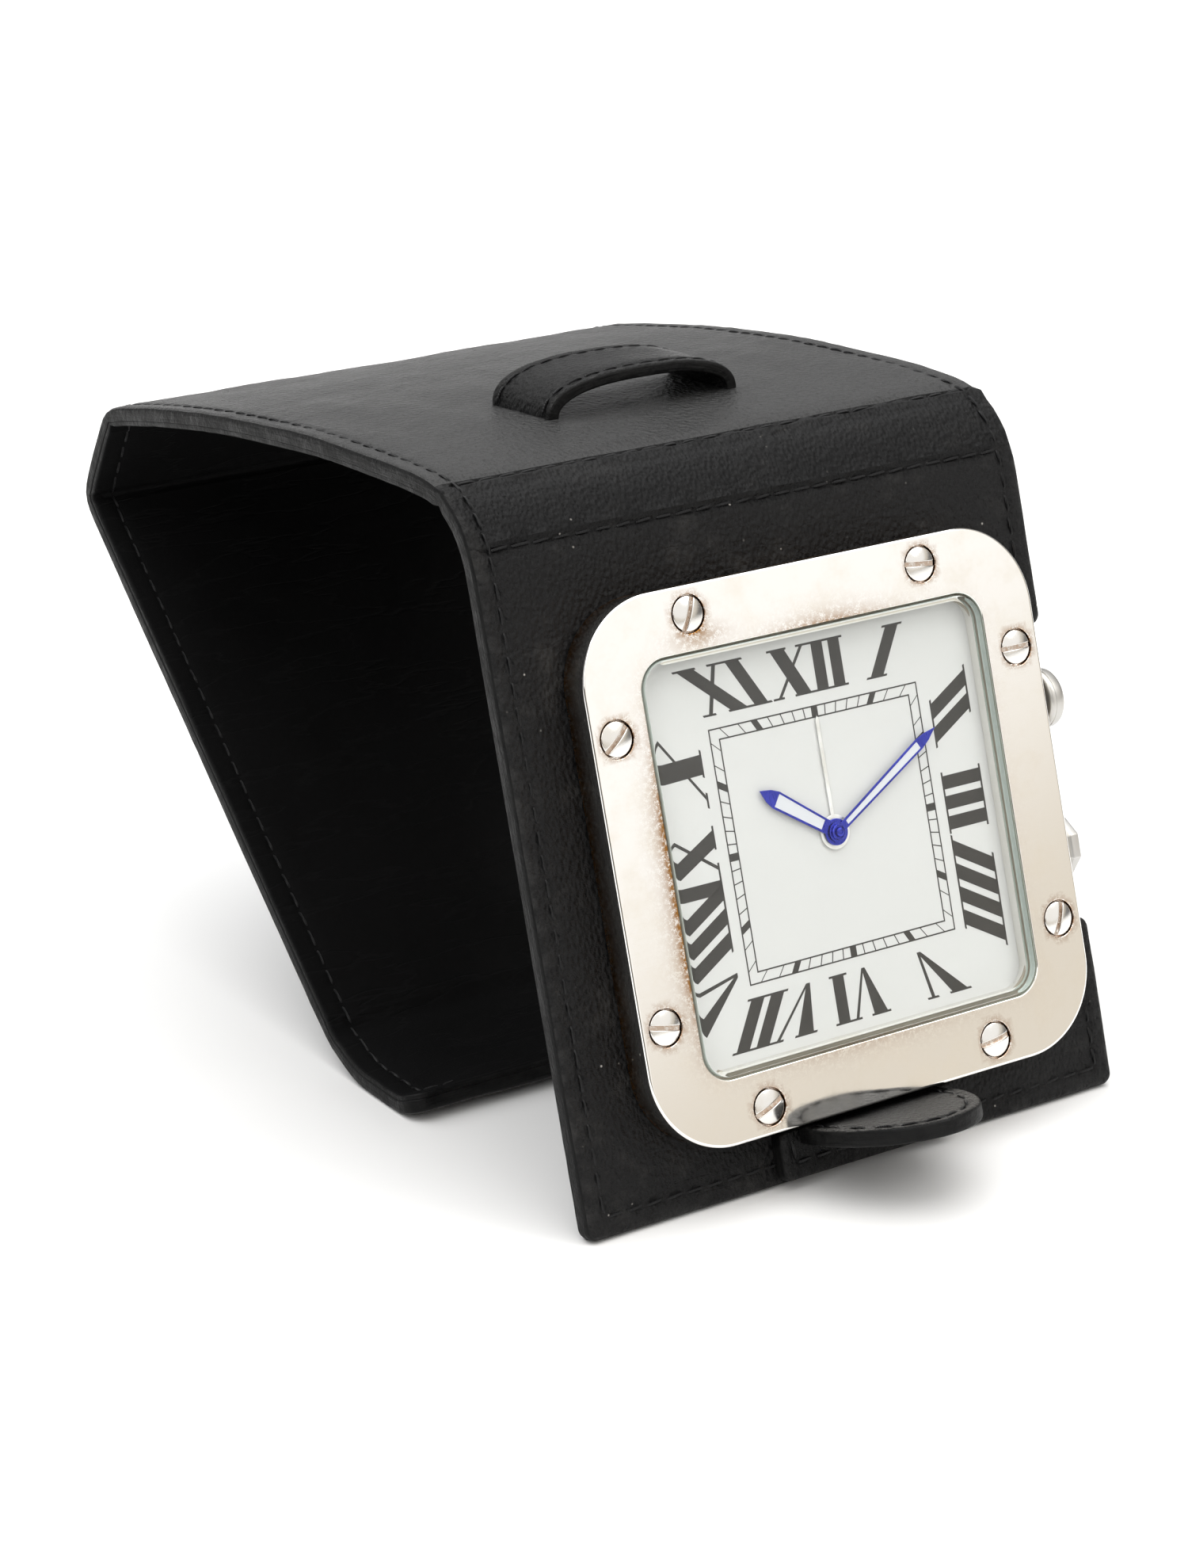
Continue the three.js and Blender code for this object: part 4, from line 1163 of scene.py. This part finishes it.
def strap():
    half, reach, start = STRAP["half"], STRAP["reach"], STRAP["round_from"]
    angles = np.linspace(0, math.pi, 41)
    tip = [(half * math.cos(a), start + (reach - start) * math.sin(a)) for a in angles]
    outline = np.array([(-half, STRAP["back"]), (half, STRAP["back"]), *tip])
    outline = divided(outline, 1.0)
    inner = 1.9
    seam = [((half - inner) * math.cos(a), start + (reach - start - inner) * math.sin(a)) for a in angles]
    lines = [np.array([(half - inner, STRAP["back"] + 0.8), *seam, (inner - half, STRAP["back"] + 0.8)])]
    levels = rim(STRAP["thickness"], 0.0, 0.5, 0.4, support=0.25)
    height = sewn_relief(lines, 0.34)
    points, faces, indices = slab([outline], levels, 0.9, lines, height, [STRAP["back"]], edge_share=0.25)

    def place(flat):
        level = STRAP["top"] - STRAP["thickness"] + flat[:, 2]
        return np.column_stack([flat[:, 0] + STRAP_MIDDLE, level, flat[:, 1]])

    faces = [face[::-1] for face in faces]
    edge = np.exp(-distance(points[:, :2], [closed(outline)]) / 0.6)
    piece("strap_tab", place(points), faces, [STRAP_HIDE, EDGE_PAINT], "strap_tongue",
          ["strap_tongue"], indices, {"edge": edge}, points)
    sparse = [np.array([lines[0][0], *lines[0][1:-1:4], lines[0][-1]])]
    stitches, stitch_faces = sewing(sparse, STRAP["thickness"] - 0.12, place)
    piece("stitching_strap", stitches, stitch_faces, [THREAD], "strap_tongue")

    low, high = CASE_BOTTOM + 0.6, STRAP["top"] - 0.2
    half = STRAP["root_half"]
    outline = divided(rounded(half, (high - low) / 2, 1.2, (STRAP_MIDDLE, (low + high) / 2)), 1.2)
    row = low + 2.4
    left, right = STRAP_MIDDLE - half + 2, STRAP_MIDDLE + half - 2
    lines = [np.array([(left, high - 1), (left, row), (right, row), (right, high - 1)])]
    points, faces, indices = slab([outline], rim(2.2, 0.0, 0.6, 0.0, support=0.25), 1.0, lines,
                                     sewn_relief(lines), edge_share=0.25)
    edge = np.exp(-distance(points[:, :2], [closed(outline)]) / 0.6)
    piece("strap_anchor", points, faces, [STRAP_HIDE, EDGE_PAINT], "clock",
          ["strap_root"], indices, {"edge": edge})
    stitches, stitch_faces = sewing(lines, 2.05, lambda flat: flat)
    piece("stitching_anchor", stitches, stitch_faces, [THREAD], "clock")


# ---- Clock head ---------------------------------------------------------------------------------

def screw_places():
    along, offset = SCREW["along"], SCREW["offset"]
    return [
        (-offset, along), (offset, along), (along, offset), (along, -offset),
        (offset, -along), (-offset, -along), (-along, -offset), (-along, offset),
    ]


def plain(name, parts, material, body, nodes, marks=None):
    """One piece of one material from several (points, faces, indices)."""
    points, faces, indices = merged(parts)
    return piece(name, points, faces, [material], body, nodes, indices, marks)


def tarnish_and_hole_shade(points, window, holes):
    """How far tarnishing has crept from the opening, and the brown round the screw holes, which is partly
    tarnishing and partly painted shade in the gap round each screw.
    """
    flat = points[:, :2]
    x, y = flat[:, 0], flat[:, 1]
    left = np.clip((-x - WINDOW_HALF + 3) / 3, 0, 1) * np.exp(-(((y + 3) / 17) ** 2))
    top = np.clip((y - WINDOW_HALF + 3) / 3, 0, 1) * np.exp(-(((x - 3) / 9) ** 2)) * 0.55
    low = np.clip((-y - WINDOW_HALF + 3) / 3, 0, 1) * np.exp(-(((x + 2) / 16) ** 2)) * 0.3
    creep = np.exp(-distance(flat, [closed(window)]) / 1.15) * np.clip(left * 1.25 + top + low + 0.06, 0, 1)
    # Round each screw hole the wall and rim turn brown: partly tarnishing, partly painted shade darkening
    # the gap about the screw.
    near = np.min([np.linalg.norm(flat - np.array(hole), axis=1) for hole in holes], 0) - SCREW["hole"]
    patch = (flat - np.array([-18.5, 30.5])) / np.array([4.0, 1.4])
    faint = 0.45 * np.exp(-np.linalg.norm(patch, axis=1) ** 2)
    return np.clip(creep + 0.7 * np.exp(-np.clip(near, 0, None) / 0.2) + faint, 0, 1)


def bezel():
    window = rounded(WINDOW_HALF, WINDOW_HALF, WINDOW_ROUND, step=5)
    holes = [ring(SCREW["hole"], place, 40) for place in screw_places()]
    outer = divided(rounded(CASE_HALF, CASE_HALF, CASE_ROUND, step=3), 4.0)
    loops = [outer, divided(window, 1.5)[::-1], *[hole[::-1] for hole in holes]]
    levels = rim(BEZEL_FRONT, BEZEL_BACK, 0.3, 0.0, steps=3, support=0.12)
    scales = [1.0, 0.6] + [0.35] * len(holes)
    points, faces, indices = slab(loops, levels, 1.1, scales=scales)
    marks = {"tarnish_and_shade": tarnish_and_hole_shade(points, window, screw_places())}
    piece("bezel_plate", points, faces, [BEZEL_STEEL], "clock", ["bezel"], indices, marks)


def half_moons(radius, slot, back, front, dome, foot):
    """A slotted cheese head: a foot and two domed halves, with the slot between them."""
    start = math.asin(slot / 2 / radius)
    angles = np.linspace(start, math.pi - start, 25)
    arc = np.array([(radius * math.cos(a), radius * math.sin(a)) for a in angles])
    levels = rim(front, back, 0.1, 0.0, steps=3, support=0.08)

    def height(points):
        return -dome * (np.linalg.norm(points, axis=1) / radius) ** 2

    halves = [slab([divided(loop, 0.7)], levels, 0.55, height=height) for loop in (arc, -arc)]
    base = slab([ring(radius, count=40)], rim(back, foot, 0.0, 0.0))
    return merged([*halves, base])


def bezel_screws():
    shape = half_moons(SCREW["radius"], SCREW["slot"], SCREW["top"] - 0.55, SCREW["top"] + 0.12, 0.42, 4.5)
    for i, (place, turn) in enumerate(zip(screw_places(), SCREW_TURNS)):
        points = spun(shape[0], -turn)
        points[:, :2] += np.array(place)
        # The head browns lower down, in its slot and where it sits in the bezel's hole: partly tarnishing in
        # the hollows, partly painted shade.
        depth = np.clip((SCREW["top"] - 0.32 - points[:, 2]) / 0.3, 0, 1)
        piece(f"screw_head_{i + 1}", points, shape[1], [SCREW_STEEL], "clock",
              [f"bezel_screw_{i + 1}"], shape[2], {"tarnish_and_shade": depth * 0.5})


def square_ring(outer, inner, levels):
    """A rounded square frame. outer and inner are (half width, corner radius)."""
    loops = [
        divided(rounded(outer[0], outer[0], outer[1], step=3), 5.0),
        divided(rounded(inner[0], inner[0], inner[1], step=5), 5.0)[::-1],
    ]
    return slab(loops, levels)


def case_body():
    bore = BARREL_HALF - BARREL_WALL
    outside = (CASE_HALF - BODY_STEP, CASE_ROUND - BODY_STEP)
    shell = square_ring(outside, SHELL_INNER, rim(BODY_FRONT, BODY_BACK, 0.0, 0.25, steps=3))
    levels = rim(BARREL_FRONT, BARREL_BACK, 0.2, 0.2, steps=2)
    barrel = square_ring((BARREL_HALF, BARREL_ROUND), (bore, BARREL_INNER_ROUND), levels)
    levels = rim(WEB["front"], BODY_BACK + 0.1, 0.0, 0.0)
    web = square_ring(WEB["outer"], (bore - 0.1, WEB["inner_round"]), levels)
    parts = [shell, barrel, web]
    points = np.vstack([part[0] for part in parts])
    tarnish_and_shade = np.exp(-np.abs(points[:, 2] - BODY_BACK - 0.25) / 0.22) * 0.9
    plain("case_middle", parts, BEZEL_STEEL, "clock", ["case_body"], {"tarnish_and_shade": tarnish_and_shade})


def crystal():
    outline = divided(rounded(CRYSTAL["half"], CRYSTAL["half"], CRYSTAL["round"], step=5), 6.0)
    levels = rim(CRYSTAL["front"], CRYSTAL["back"], 0.45, 0.1, steps=3, support=0.1)
    points, faces, indices = slab([outline], levels, edge_share=0.15)
    materials = [GLASS, GROUND_GLASS]
    pane = piece("crystal_pane", points, faces, materials, "clock", ["crystal"], indices)
    pane.visible_shadow = False
    seal = square_ring(SEAL["outer"], SEAL["inner"], rim(SEAL["front"], SEAL["back"], 0.0, 0.0))
    plain("crystal_seal", [seal], RUBBER, "clock", ["crystal_gasket"])
    back, front = SURROUND["back"], SURROUND["front"]
    levels = [(0.0, back, False), (0.06, 2.75, False), (0.1, 3.64, True), (0.2, front, True)]
    wall = square_ring(SURROUND["outer"], SURROUND["inner"], levels)
    levels = rim(SURROUND_LIP["front"], SURROUND_LIP["back"], 0.0, 0.0)
    lip = square_ring(SURROUND_LIP["outer"], SURROUND_LIP["inner"], levels)
    plain("surround_wall", [wall, lip], SURROUND_STEEL, "clock", ["dial_surround"])


# ---- Dial ---------------------------------------------------------------------------------------

NUMERAL_INNER, NUMERAL_OUTER = 19.3, 26.2
STEM, BROAD, SLIT, SERIF, FOOT, HAIR = 1.9, 2.35, 0.95, 0.55, 0.45, 0.3
NUMERALS = {
    1: "I", 2: "II", 3: "III", 4: "IIII", 5: "V", 6: "VI",
    7: "VII", 8: "VIII", 9: "IX", 10: "X", 11: "XI", 12: "XII",
}
NUMERAL_SHIFTS = {11: -1.1}
TRACK_OUTER, TRACK_INNER, TRACK_LINE, TRACK_BLOCK = 17.6, 16.1, 0.2, 1.05
PRINT_THICKNESS = 0.015


# A glyph is drawn from u along the numeral, and from 0 at its foot to 1 at its head.

def quad(foot_low, foot_high, head_low, head_high, low=0.0, high=1.0):
    return [(foot_low, low), (foot_high, low), (head_high, high), (head_low, high)]


def serif(left, right, at_head):
    thick = HAIR / (NUMERAL_OUTER - NUMERAL_INNER)
    low, high = (1 - thick, 1.0) if at_head else (0.0, thick)
    return [(left, low), (right, low), (right, high), (left, high)]


def glyph_i(u):
    feet = [serif(u - SERIF, u + STEM + SERIF, head) for head in (False, True)]
    return [quad(u, u + STEM, u, u + STEM), *feet], u + STEM


def glyph_x(u):
    thin, wide = 0.55, 6.0
    return [
        quad(u + wide - BROAD, u + wide, u, u + BROAD),
        quad(u + 0.25, u + 0.25 + thin, u + wide - 0.8, u + wide - 0.8 + thin),
        serif(u - FOOT, u + BROAD + FOOT, True),
        serif(u + wide - BROAD - FOOT, u + wide + FOOT, False),
        serif(u + wide - 1.6, u + wide + 0.4, True),
        serif(u - FOOT, u + 1.4, False),
    ], u + wide


def glyph_v(u):
    thin, wide = 0.5, 5.6
    apex = u + wide * 0.56
    return [
        quad(apex - 0.25, apex + 0.25, u, u + BROAD),
        quad(apex - 0.05, apex + 0.3, u + wide - thin, u + wide),
        serif(u - FOOT, u + BROAD + FOOT, True),
        serif(u + wide - 1.1, u + wide + 0.6, True),
    ], u + wide


GLYPHS = {"I": glyph_i, "X": glyph_x, "V": glyph_v}


def numeral_shapes(hour):
    """The polygons of one numeral on the dial: feet towards the centre, leaning along its radius."""
    strokes, u = [], 0.0
    for letter in NUMERALS[hour]:
        drawn, u = GLYPHS[letter](u)
        strokes += drawn
        u += SLIT
    width = u - SLIT
    side = round(hour / 3) * 3
    lean = math.tan(math.radians((hour - side) * 30))
    stretch = math.sqrt(1 + lean * lean)
    turn = -math.radians(side * 30)
    shapes = []
    for stroke in strokes:
        shape = []
        for along, share in stroke:
            out = NUMERAL_INNER + (NUMERAL_OUTER - NUMERAL_INNER) * share
            across = (along - width / 2) * stretch + out * lean + NUMERAL_SHIFTS.get(hour, 0.0)
            shape.append((
                across * math.cos(turn) - out * math.sin(turn),
                across * math.sin(turn) + out * math.cos(turn),
            ))
        shapes.append(shape)
    return shapes


def square_reach(angle, half):
    """The point where a ray from the centre meets a square of that half width."""
    x, y = math.sin(angle), math.cos(angle)
    share = half / max(abs(x), abs(y))
    return np.array([x * share, y * share])


def track_shapes():
    shapes = []
    for half in (TRACK_OUTER, TRACK_INNER):
        inner = half - TRACK_LINE
        for quarter in range(4):
            turn = Matrix.Rotation(quarter * math.pi / 2, 2)
            strip = [(-half, inner), (half, inner), (half, half), (-half, half)]
            shapes.append([tuple(turn @ Vector(corner)) for corner in strip])
    for minute in range(60):
        angle = minute * math.pi / 30
        wide = TRACK_BLOCK if minute % 5 == 0 else TRACK_LINE * 0.8
        low, high = square_reach(angle, TRACK_INNER - 0.05), square_reach(angle, TRACK_OUTER - 0.05)
        upright = abs(low[1]) >= abs(low[0]) - 1e-6
        side = np.array([wide / 2, 0.0]) if upright else np.array([0.0, wide / 2])
        shapes.append([tuple(low - side), tuple(low + side), tuple(high + side), tuple(high - side)])
    return shapes


def counter_clockwise(shape):
    points = np.array(shape)
    after = np.roll(points, -1, 0)
    area = (points[:, 0] * after[:, 1] - after[:, 0] * points[:, 1]).sum()
    return shape if area > 0 else shape[::-1]


def printed(name, shapes, level, thickness, material, body="clock", nodes=()):
    """A thin raised print whose outline is the union of some polygons."""
    shapes = [counter_clockwise(shape) for shape in shapes]
    corners = [Vector(corner) for shape in shapes for corner in shape]
    faces, start = [], 0
    for shape in shapes:
        faces.append(list(range(start, start + len(shape))))
        start += len(shape)
    flat, _, inner_faces, _, _, _ = delaunay_2d_cdt(corners, [], faces, 1, 1e-5)
    count = len(flat)
    points = np.array([(*p, z) for z in (level, level + thickness) for p in flat])
    middles = points[[list(face) for face in inner_faces], :2].mean(1)
    drawn = np.any([inside(middles, [np.array(shape)]) for shape in shapes], axis=0)
    edges = {}
    solid = []
    for face in [face for face, kept in zip(inner_faces, drawn) if kept]:
        a, b, c = (flat[i] for i in face[:3])
        turn = (b[0] - a[0]) * (c[1] - a[1]) - (b[1] - a[1]) * (c[0] - a[0])
        face = list(face) if turn > 0 else list(face)[::-1]
        solid.append(tuple(count + i for i in face))
        solid.append(tuple(face[::-1]))
        for i, j in zip(face, face[1:] + face[:1]):
            edges[(i, j)] = edges.get((i, j), 0) + 1
    for (i, j) in edges:
        if (j, i) not in edges:
            solid.append((i, j, count + j, count + i))
    used = sorted({i for face in solid for i in face})
    fresh = {old: new for new, old in enumerate(used)}
    solid = [tuple(fresh[i] for i in face) for face in solid]
    return piece(name, points[used], solid, [material], body, nodes)


def dial():
    outline = divided(rounded(DIAL["half"], DIAL["half"], WINDOW_ROUND, step=6), 6.0)
    hole = ring(DIAL["hole"], count=48)[::-1]
    levels = rim(DIAL["front"], DIAL["back"], 0.06, 0.0, steps=2, support=0.05)
    plain("dial_plate", [slab([outline, hole], levels)], DIAL_WHITE, "clock", ["dial"])
    for hour in NUMERALS:
        printed(f"numeral_{hour}", numeral_shapes(hour), DIAL["front"], PRINT_THICKNESS, INK)
    printed("minute_track", track_shapes(), DIAL["front"], PRINT_THICKNESS, INK)


# ---- Hands --------------------------------------------------------------------------------------

HAND_THICKNESS = 0.18
HOUR = {
    "length": 13.9, "hub": 1.85, "hole": 1.12, "root": 1.0, "tip": 1.25, "point": 2.95, "z": 3.02, "at": 305,
}
MINUTE = {
    "length": 21.8, "hub": 1.4, "hole": 0.62, "root": 0.62, "tip": 0.85, "point": 3.6, "z": 3.36, "at": 60,
}
ALARM = {"length": 16.2, "taper": 15.6, "hub": 2.4, "hole": 1.62, "half": 0.26, "z": 2.68}
HAND_RIM = 0.3


def spun(points, degrees):
    """Points turned clockwise about the dial's axis."""
    angle = -math.radians(degrees)
    turn = np.array([[math.cos(angle), -math.sin(angle)], [math.sin(angle), math.cos(angle)]])
    result = points.copy()
    result[:, :2] = points[:, :2] @ turn.T
    return result


def hub_arc(hub, half_root, count):
    """A hand's hub, from one side of the hand round to the other."""
    start = math.asin(half_root / hub)
    angles = np.linspace(math.pi / 2 + start, math.pi / 2 - start + 2 * math.pi, count)
    return [(hub * math.cos(a), hub * math.sin(a)) for a in angles]


def sword_hand(name, node, body, size):
    """A blued sword-shaped hand with a pale filling in its window."""
    hub, root, tip = size["hub"], size["root"], size["tip"]
    shoulder = size["length"] - size["point"]
    outline = hub_arc(hub, root, 49)
    waist = shoulder + size["point"] * 0.45
    outline += [(tip, shoulder), (tip * 0.72, waist), (0, size["length"])]
    outline += [(-tip * 0.72, waist), (-tip, shoulder)]
    low, high = hub + 2 * HAND_RIM, shoulder - HAND_RIM / 2
    slot = np.array([
        (HAND_RIM - root, low), (root - HAND_RIM, low), (tip - HAND_RIM, high), (HAND_RIM - tip, high),
    ])
    loops = [np.array(outline), slot[::-1], ring(size["hole"], count=40)[::-1]]
    levels = rim(size["z"] + HAND_THICKNESS, size["z"], 0.05, 0.0, steps=2, support=0.03)
    points, faces, indices = slab(loops, levels)
    piece(name, spun(points, size["at"]), faces, [BLUED], body, [node], indices)
    levels = rim(size["z"] + HAND_THICKNESS - 0.05, size["z"] + 0.03, 0.0, 0.0)
    points, faces, indices = slab([slot * np.array([1.02, 1.0])], levels)
    piece(f"{name}_filling", spun(points, size["at"]), faces, [HAND_FILLING], body, (), indices)


def hands():
    sword_hand("hour_sword", "hour_hand", "hour_hand", HOUR)
    sword_hand("minute_sword", "minute_hand", "minute_hand", MINUTE)
    outline = hub_arc(ALARM["hub"], ALARM["half"], 61)
    outline += [(ALARM["half"], ALARM["taper"]), (0, ALARM["length"]), (-ALARM["half"], ALARM["taper"])]
    loops = [np.array(outline), ring(ALARM["hole"], count=40)[::-1]]
    levels = rim(ALARM["z"] + HAND_THICKNESS, ALARM["z"], 0.05, 0.0, steps=2, support=0.03)
    plain("alarm_pointer", [slab(loops, levels)], SILVERED, "alarm_hand", ["alarm_hand"])
    profile = [
        (0, 3.55), (1.12, 3.55), (1.12, 3.78), (1.04, 3.86), (0.86, 3.86), (0.8, 3.74), (0.7, 3.74),
        (0.66, 3.9), (0.62, 4.1), (0.52, 4.18), (0.3, 4.2), (0.24, 4.1), (0, 4.1),
    ]
    plain("hand_boss", [turned(profile, 48)], BLUED, "minute_hand", ["hand_cap"])


# ---- Controls and back --------------------------------------------------------------------------

def sideways(shape, y):
    """A lathe shape about z turned to point to the right at the height of a control."""
    x0, y0, z0 = shape[0].T
    return np.column_stack([z0, y0 + y, CONTROL_Z - x0]), shape[1], shape[2]


def bevelled(obj, width, segments=3):
    """Rounds every sharp edge of a mesh piece."""
    work = bmesh.new()
    work.from_mesh(obj.data)
    sharp = [e for e in work.edges if len(e.link_faces) == 2 and e.calc_face_angle() > math.radians(16)]
    bmesh.ops.bevel(work, geom=sharp, offset=width * MM, segments=segments, profile=0.6, affect="EDGES")
    work.to_mesh(obj.data)
    work.free()
    obj.data.shade_smooth()
    obj.data.set_sharp_from_angle(angle=SHARP_EDGE)


def knobs():
    near, far, r = BUTTON["from"], BUTTON["to"], KNOB_RADIUS
    profile = [
        (0, near), (r - 0.5, near), (r - 0.2, near + 0.12), (r, near + 0.4), (r, near + 0.75),
        (r - 0.08, near + 0.82), (r - 0.08, near + 0.9), (r, near + 0.97), (r, far - 1.0),
        (r - 0.16, far - 0.6), (r - 0.55, far - 0.25), (r - 1.2, far - 0.06), (r - 1.8, far), (0, far),
    ]
    button = sideways(turned(profile, 72), BUTTON["y"])
    plain("button_cap", [button], KNOB_STEEL, "alarm_button", ["alarm_button"])
    near, far = CROWN["from"], CROWN["to"]
    profile = [(0, near), (r - 0.35, near), (r + 0.1, near + 0.45), (r + 0.1, far - 0.8)]
    profile += [(r - 1.1, far), (0, far)]
    cap = sideways(turned(profile, 8, math.pi / 8), CROWN["y"])
    crown = plain("crown_cap", [cap], KNOB_STEEL, "setting_crown", ["setting_crown"])
    bevelled(crown, 0.14)


COVER_BACK, COVER_FRONT = -5.7, -4.65
COVER_SCREW_AT = 23.0
COVER_SCREW_HOLE = 1.45
HATCH = {"x": 12.0, "y": -9.0, "radius": 6.2, "play": 0.2, "slot_floor": -5.15}
CLAMP = {"outer": (32.7, 10.0), "inner": (29.8, 8.0), "front": -3.3, "back": -4.1}


def back():
    at = COVER_SCREW_AT
    corners = [(-at, at), (at, at), (at, -at), (-at, -at)]
    outline = divided(rounded(BARREL_HALF, BARREL_HALF, BARREL_ROUND, step=4), 5.0)
    holes = [ring(COVER_SCREW_HOLE, corner, 28)[::-1] for corner in corners]
    hatch_centre = (HATCH["x"], HATCH["y"])
    opening = ring(HATCH["radius"] + HATCH["play"], hatch_centre, 64)[::-1]
    levels = rim(COVER_FRONT, COVER_BACK, 0.0, 0.35, steps=3, support=0.12)
    scales = [1.0] + [0.35] * 4 + [0.5]
    cover = slab([outline, *holes, opening], levels, 2.0, scales=scales)
    plain("rear_cover", [cover], BACK_STEEL, "clock", ["back_cover"])

    points, faces, indices = half_moons(1.25, 0.5, 0.3, 0.62, 0.14, 0.0)
    flipped = [face[::-1] for face in faces]
    for i, corner in enumerate(corners):
        turn = spun(points, 25 + 40 * i)
        x, y, z = turn.T
        place = np.column_stack([x + corner[0], y + corner[1], COVER_BACK + 0.58 - z])
        piece(f"cover_screw_{i + 1}", place, flipped, [BACK_SCREW_STEEL], "clock",
              [f"back_screw_{i + 1}"], indices)

    slot = rounded(4.5, 0.6, 0.6, hatch_centre, step=15)[::-1]
    disc = ring(HATCH["radius"], hatch_centre, 64)
    levels = rim(HATCH["slot_floor"], COVER_BACK, 0.0, 0.3, steps=3, support=0.1)
    lid = slab([disc, slot], levels, scales=[1.0, 0.4])
    floor = slab([disc], rim(COVER_FRONT, HATCH["slot_floor"], 0.0, 0.0))
    plain("hatch_lid", [lid, floor], BACK_STEEL, "battery_hatch", ["battery_hatch"])

    levels = rim(CLAMP["front"], CLAMP["back"], 0.0, 0.2, steps=2)
    clamp = square_ring(CLAMP["outer"], CLAMP["inner"], levels)
    plain("clamp_ring", [clamp], BACK_SCREW_STEEL, "clock", ["clamp_frame"])


# ---- CAD nodes that keep their shape ------------------------------------------------------------

def repaint():
    """Gives the CAD nodes that stay in view their finished materials."""
    brass = tinted_metal("movement_brass", (0.72, 0.55, 0.28), 0.3, built=False)
    plastic = enamel("movement_plastic", (0.03, 0.033, 0.038), 0.45, 0.15, built=False)
    board = enamel("circuit_board", (0.03, 0.17, 0.09), 0.4, 0.2, built=False)
    copper = tinted_metal("coil_copper", (0.62, 0.27, 0.12), 0.35, built=False)
    stem = steel("stem_steel", (0.6, 0.59, 0.57), 0.25, 0.1, built=False)
    cell = steel("cell_steel", (0.8, 0.79, 0.76), 0.2, 0.1, built=False)
    finishes = {
        brass: [
            "cannon_pinion", "minute_wheel", "hour_wheel", "alarm_wheel", "buzzer_disc", "battery_contact",
        ],
        plastic: ["movement_plate", "dial_holder"],
        board: ["circuit_board"],
        copper: ["stepper_coil"],
        stem: ["alarm_button_stem", "setting_crown_stem"],
        cell: ["battery_cell"],
    }
    for material, names in finishes.items():
        for name in names:
            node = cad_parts[name]
            node.data.materials.clear()
            node.data.materials.append(material)


EDGE_PAINT = edge_paint()
THREAD = thread()
STRAP_HIDE = leather("strap_hide", (0.002, 0.002, 0.0021), 0.3, 0.55, 0.35, 0.02, 0.1, gloss=0.17)
BEZEL_STEEL = steel("bezel_steel", (0.93, 0.915, 0.885), 0.05, tarnished_and_shaded=True)
SCREW_STEEL = steel("screw_steel", (0.78, 0.765, 0.74), 0.16, 0.15, tarnished_and_shaded=True)
KNOB_STEEL = steel("knob_steel", (0.56, 0.55, 0.53), 0.34, 0.12)
SURROUND_STEEL = steel("surround_steel", (0.86, 0.85, 0.82), 0.06)
BACK_STEEL = steel("back_steel", (0.72, 0.71, 0.69), 0.22, 0.2)
BACK_SCREW_STEEL = steel("back_screw_steel", (0.66, 0.65, 0.63), 0.25, 0.1)
GLASS = glass()
RUBBER = enamel("gasket_rubber", (0.30, 0.27, 0.22), 0.6, 0.2)
GROUND_GLASS = enamel("ground_glass", (0.46, 0.52, 0.48), 0.5, 0.1)
DIAL_WHITE = enamel("dial_lacquer", (0.60, 0.597, 0.588), 0.34, 0.012)
INK = enamel("dial_ink", (0.026, 0.023, 0.02), 0.5, 0.1)
BLUED = tinted_metal("blued_steel", (0.045, 0.055, 0.42), 0.24)
HAND_FILLING = enamel("hand_filling", (0.60, 0.61, 0.64), 0.5, 0.02)
SILVERED = tinted_metal("silvered_hand", (0.93, 0.91, 0.87), 0.3)

camera()
studio()
leather_case()
case_stitching()
keeper()
strap()
bezel()
bezel_screws()
case_body()
crystal()
dial()
hands()
knobs()
back()
repaint()
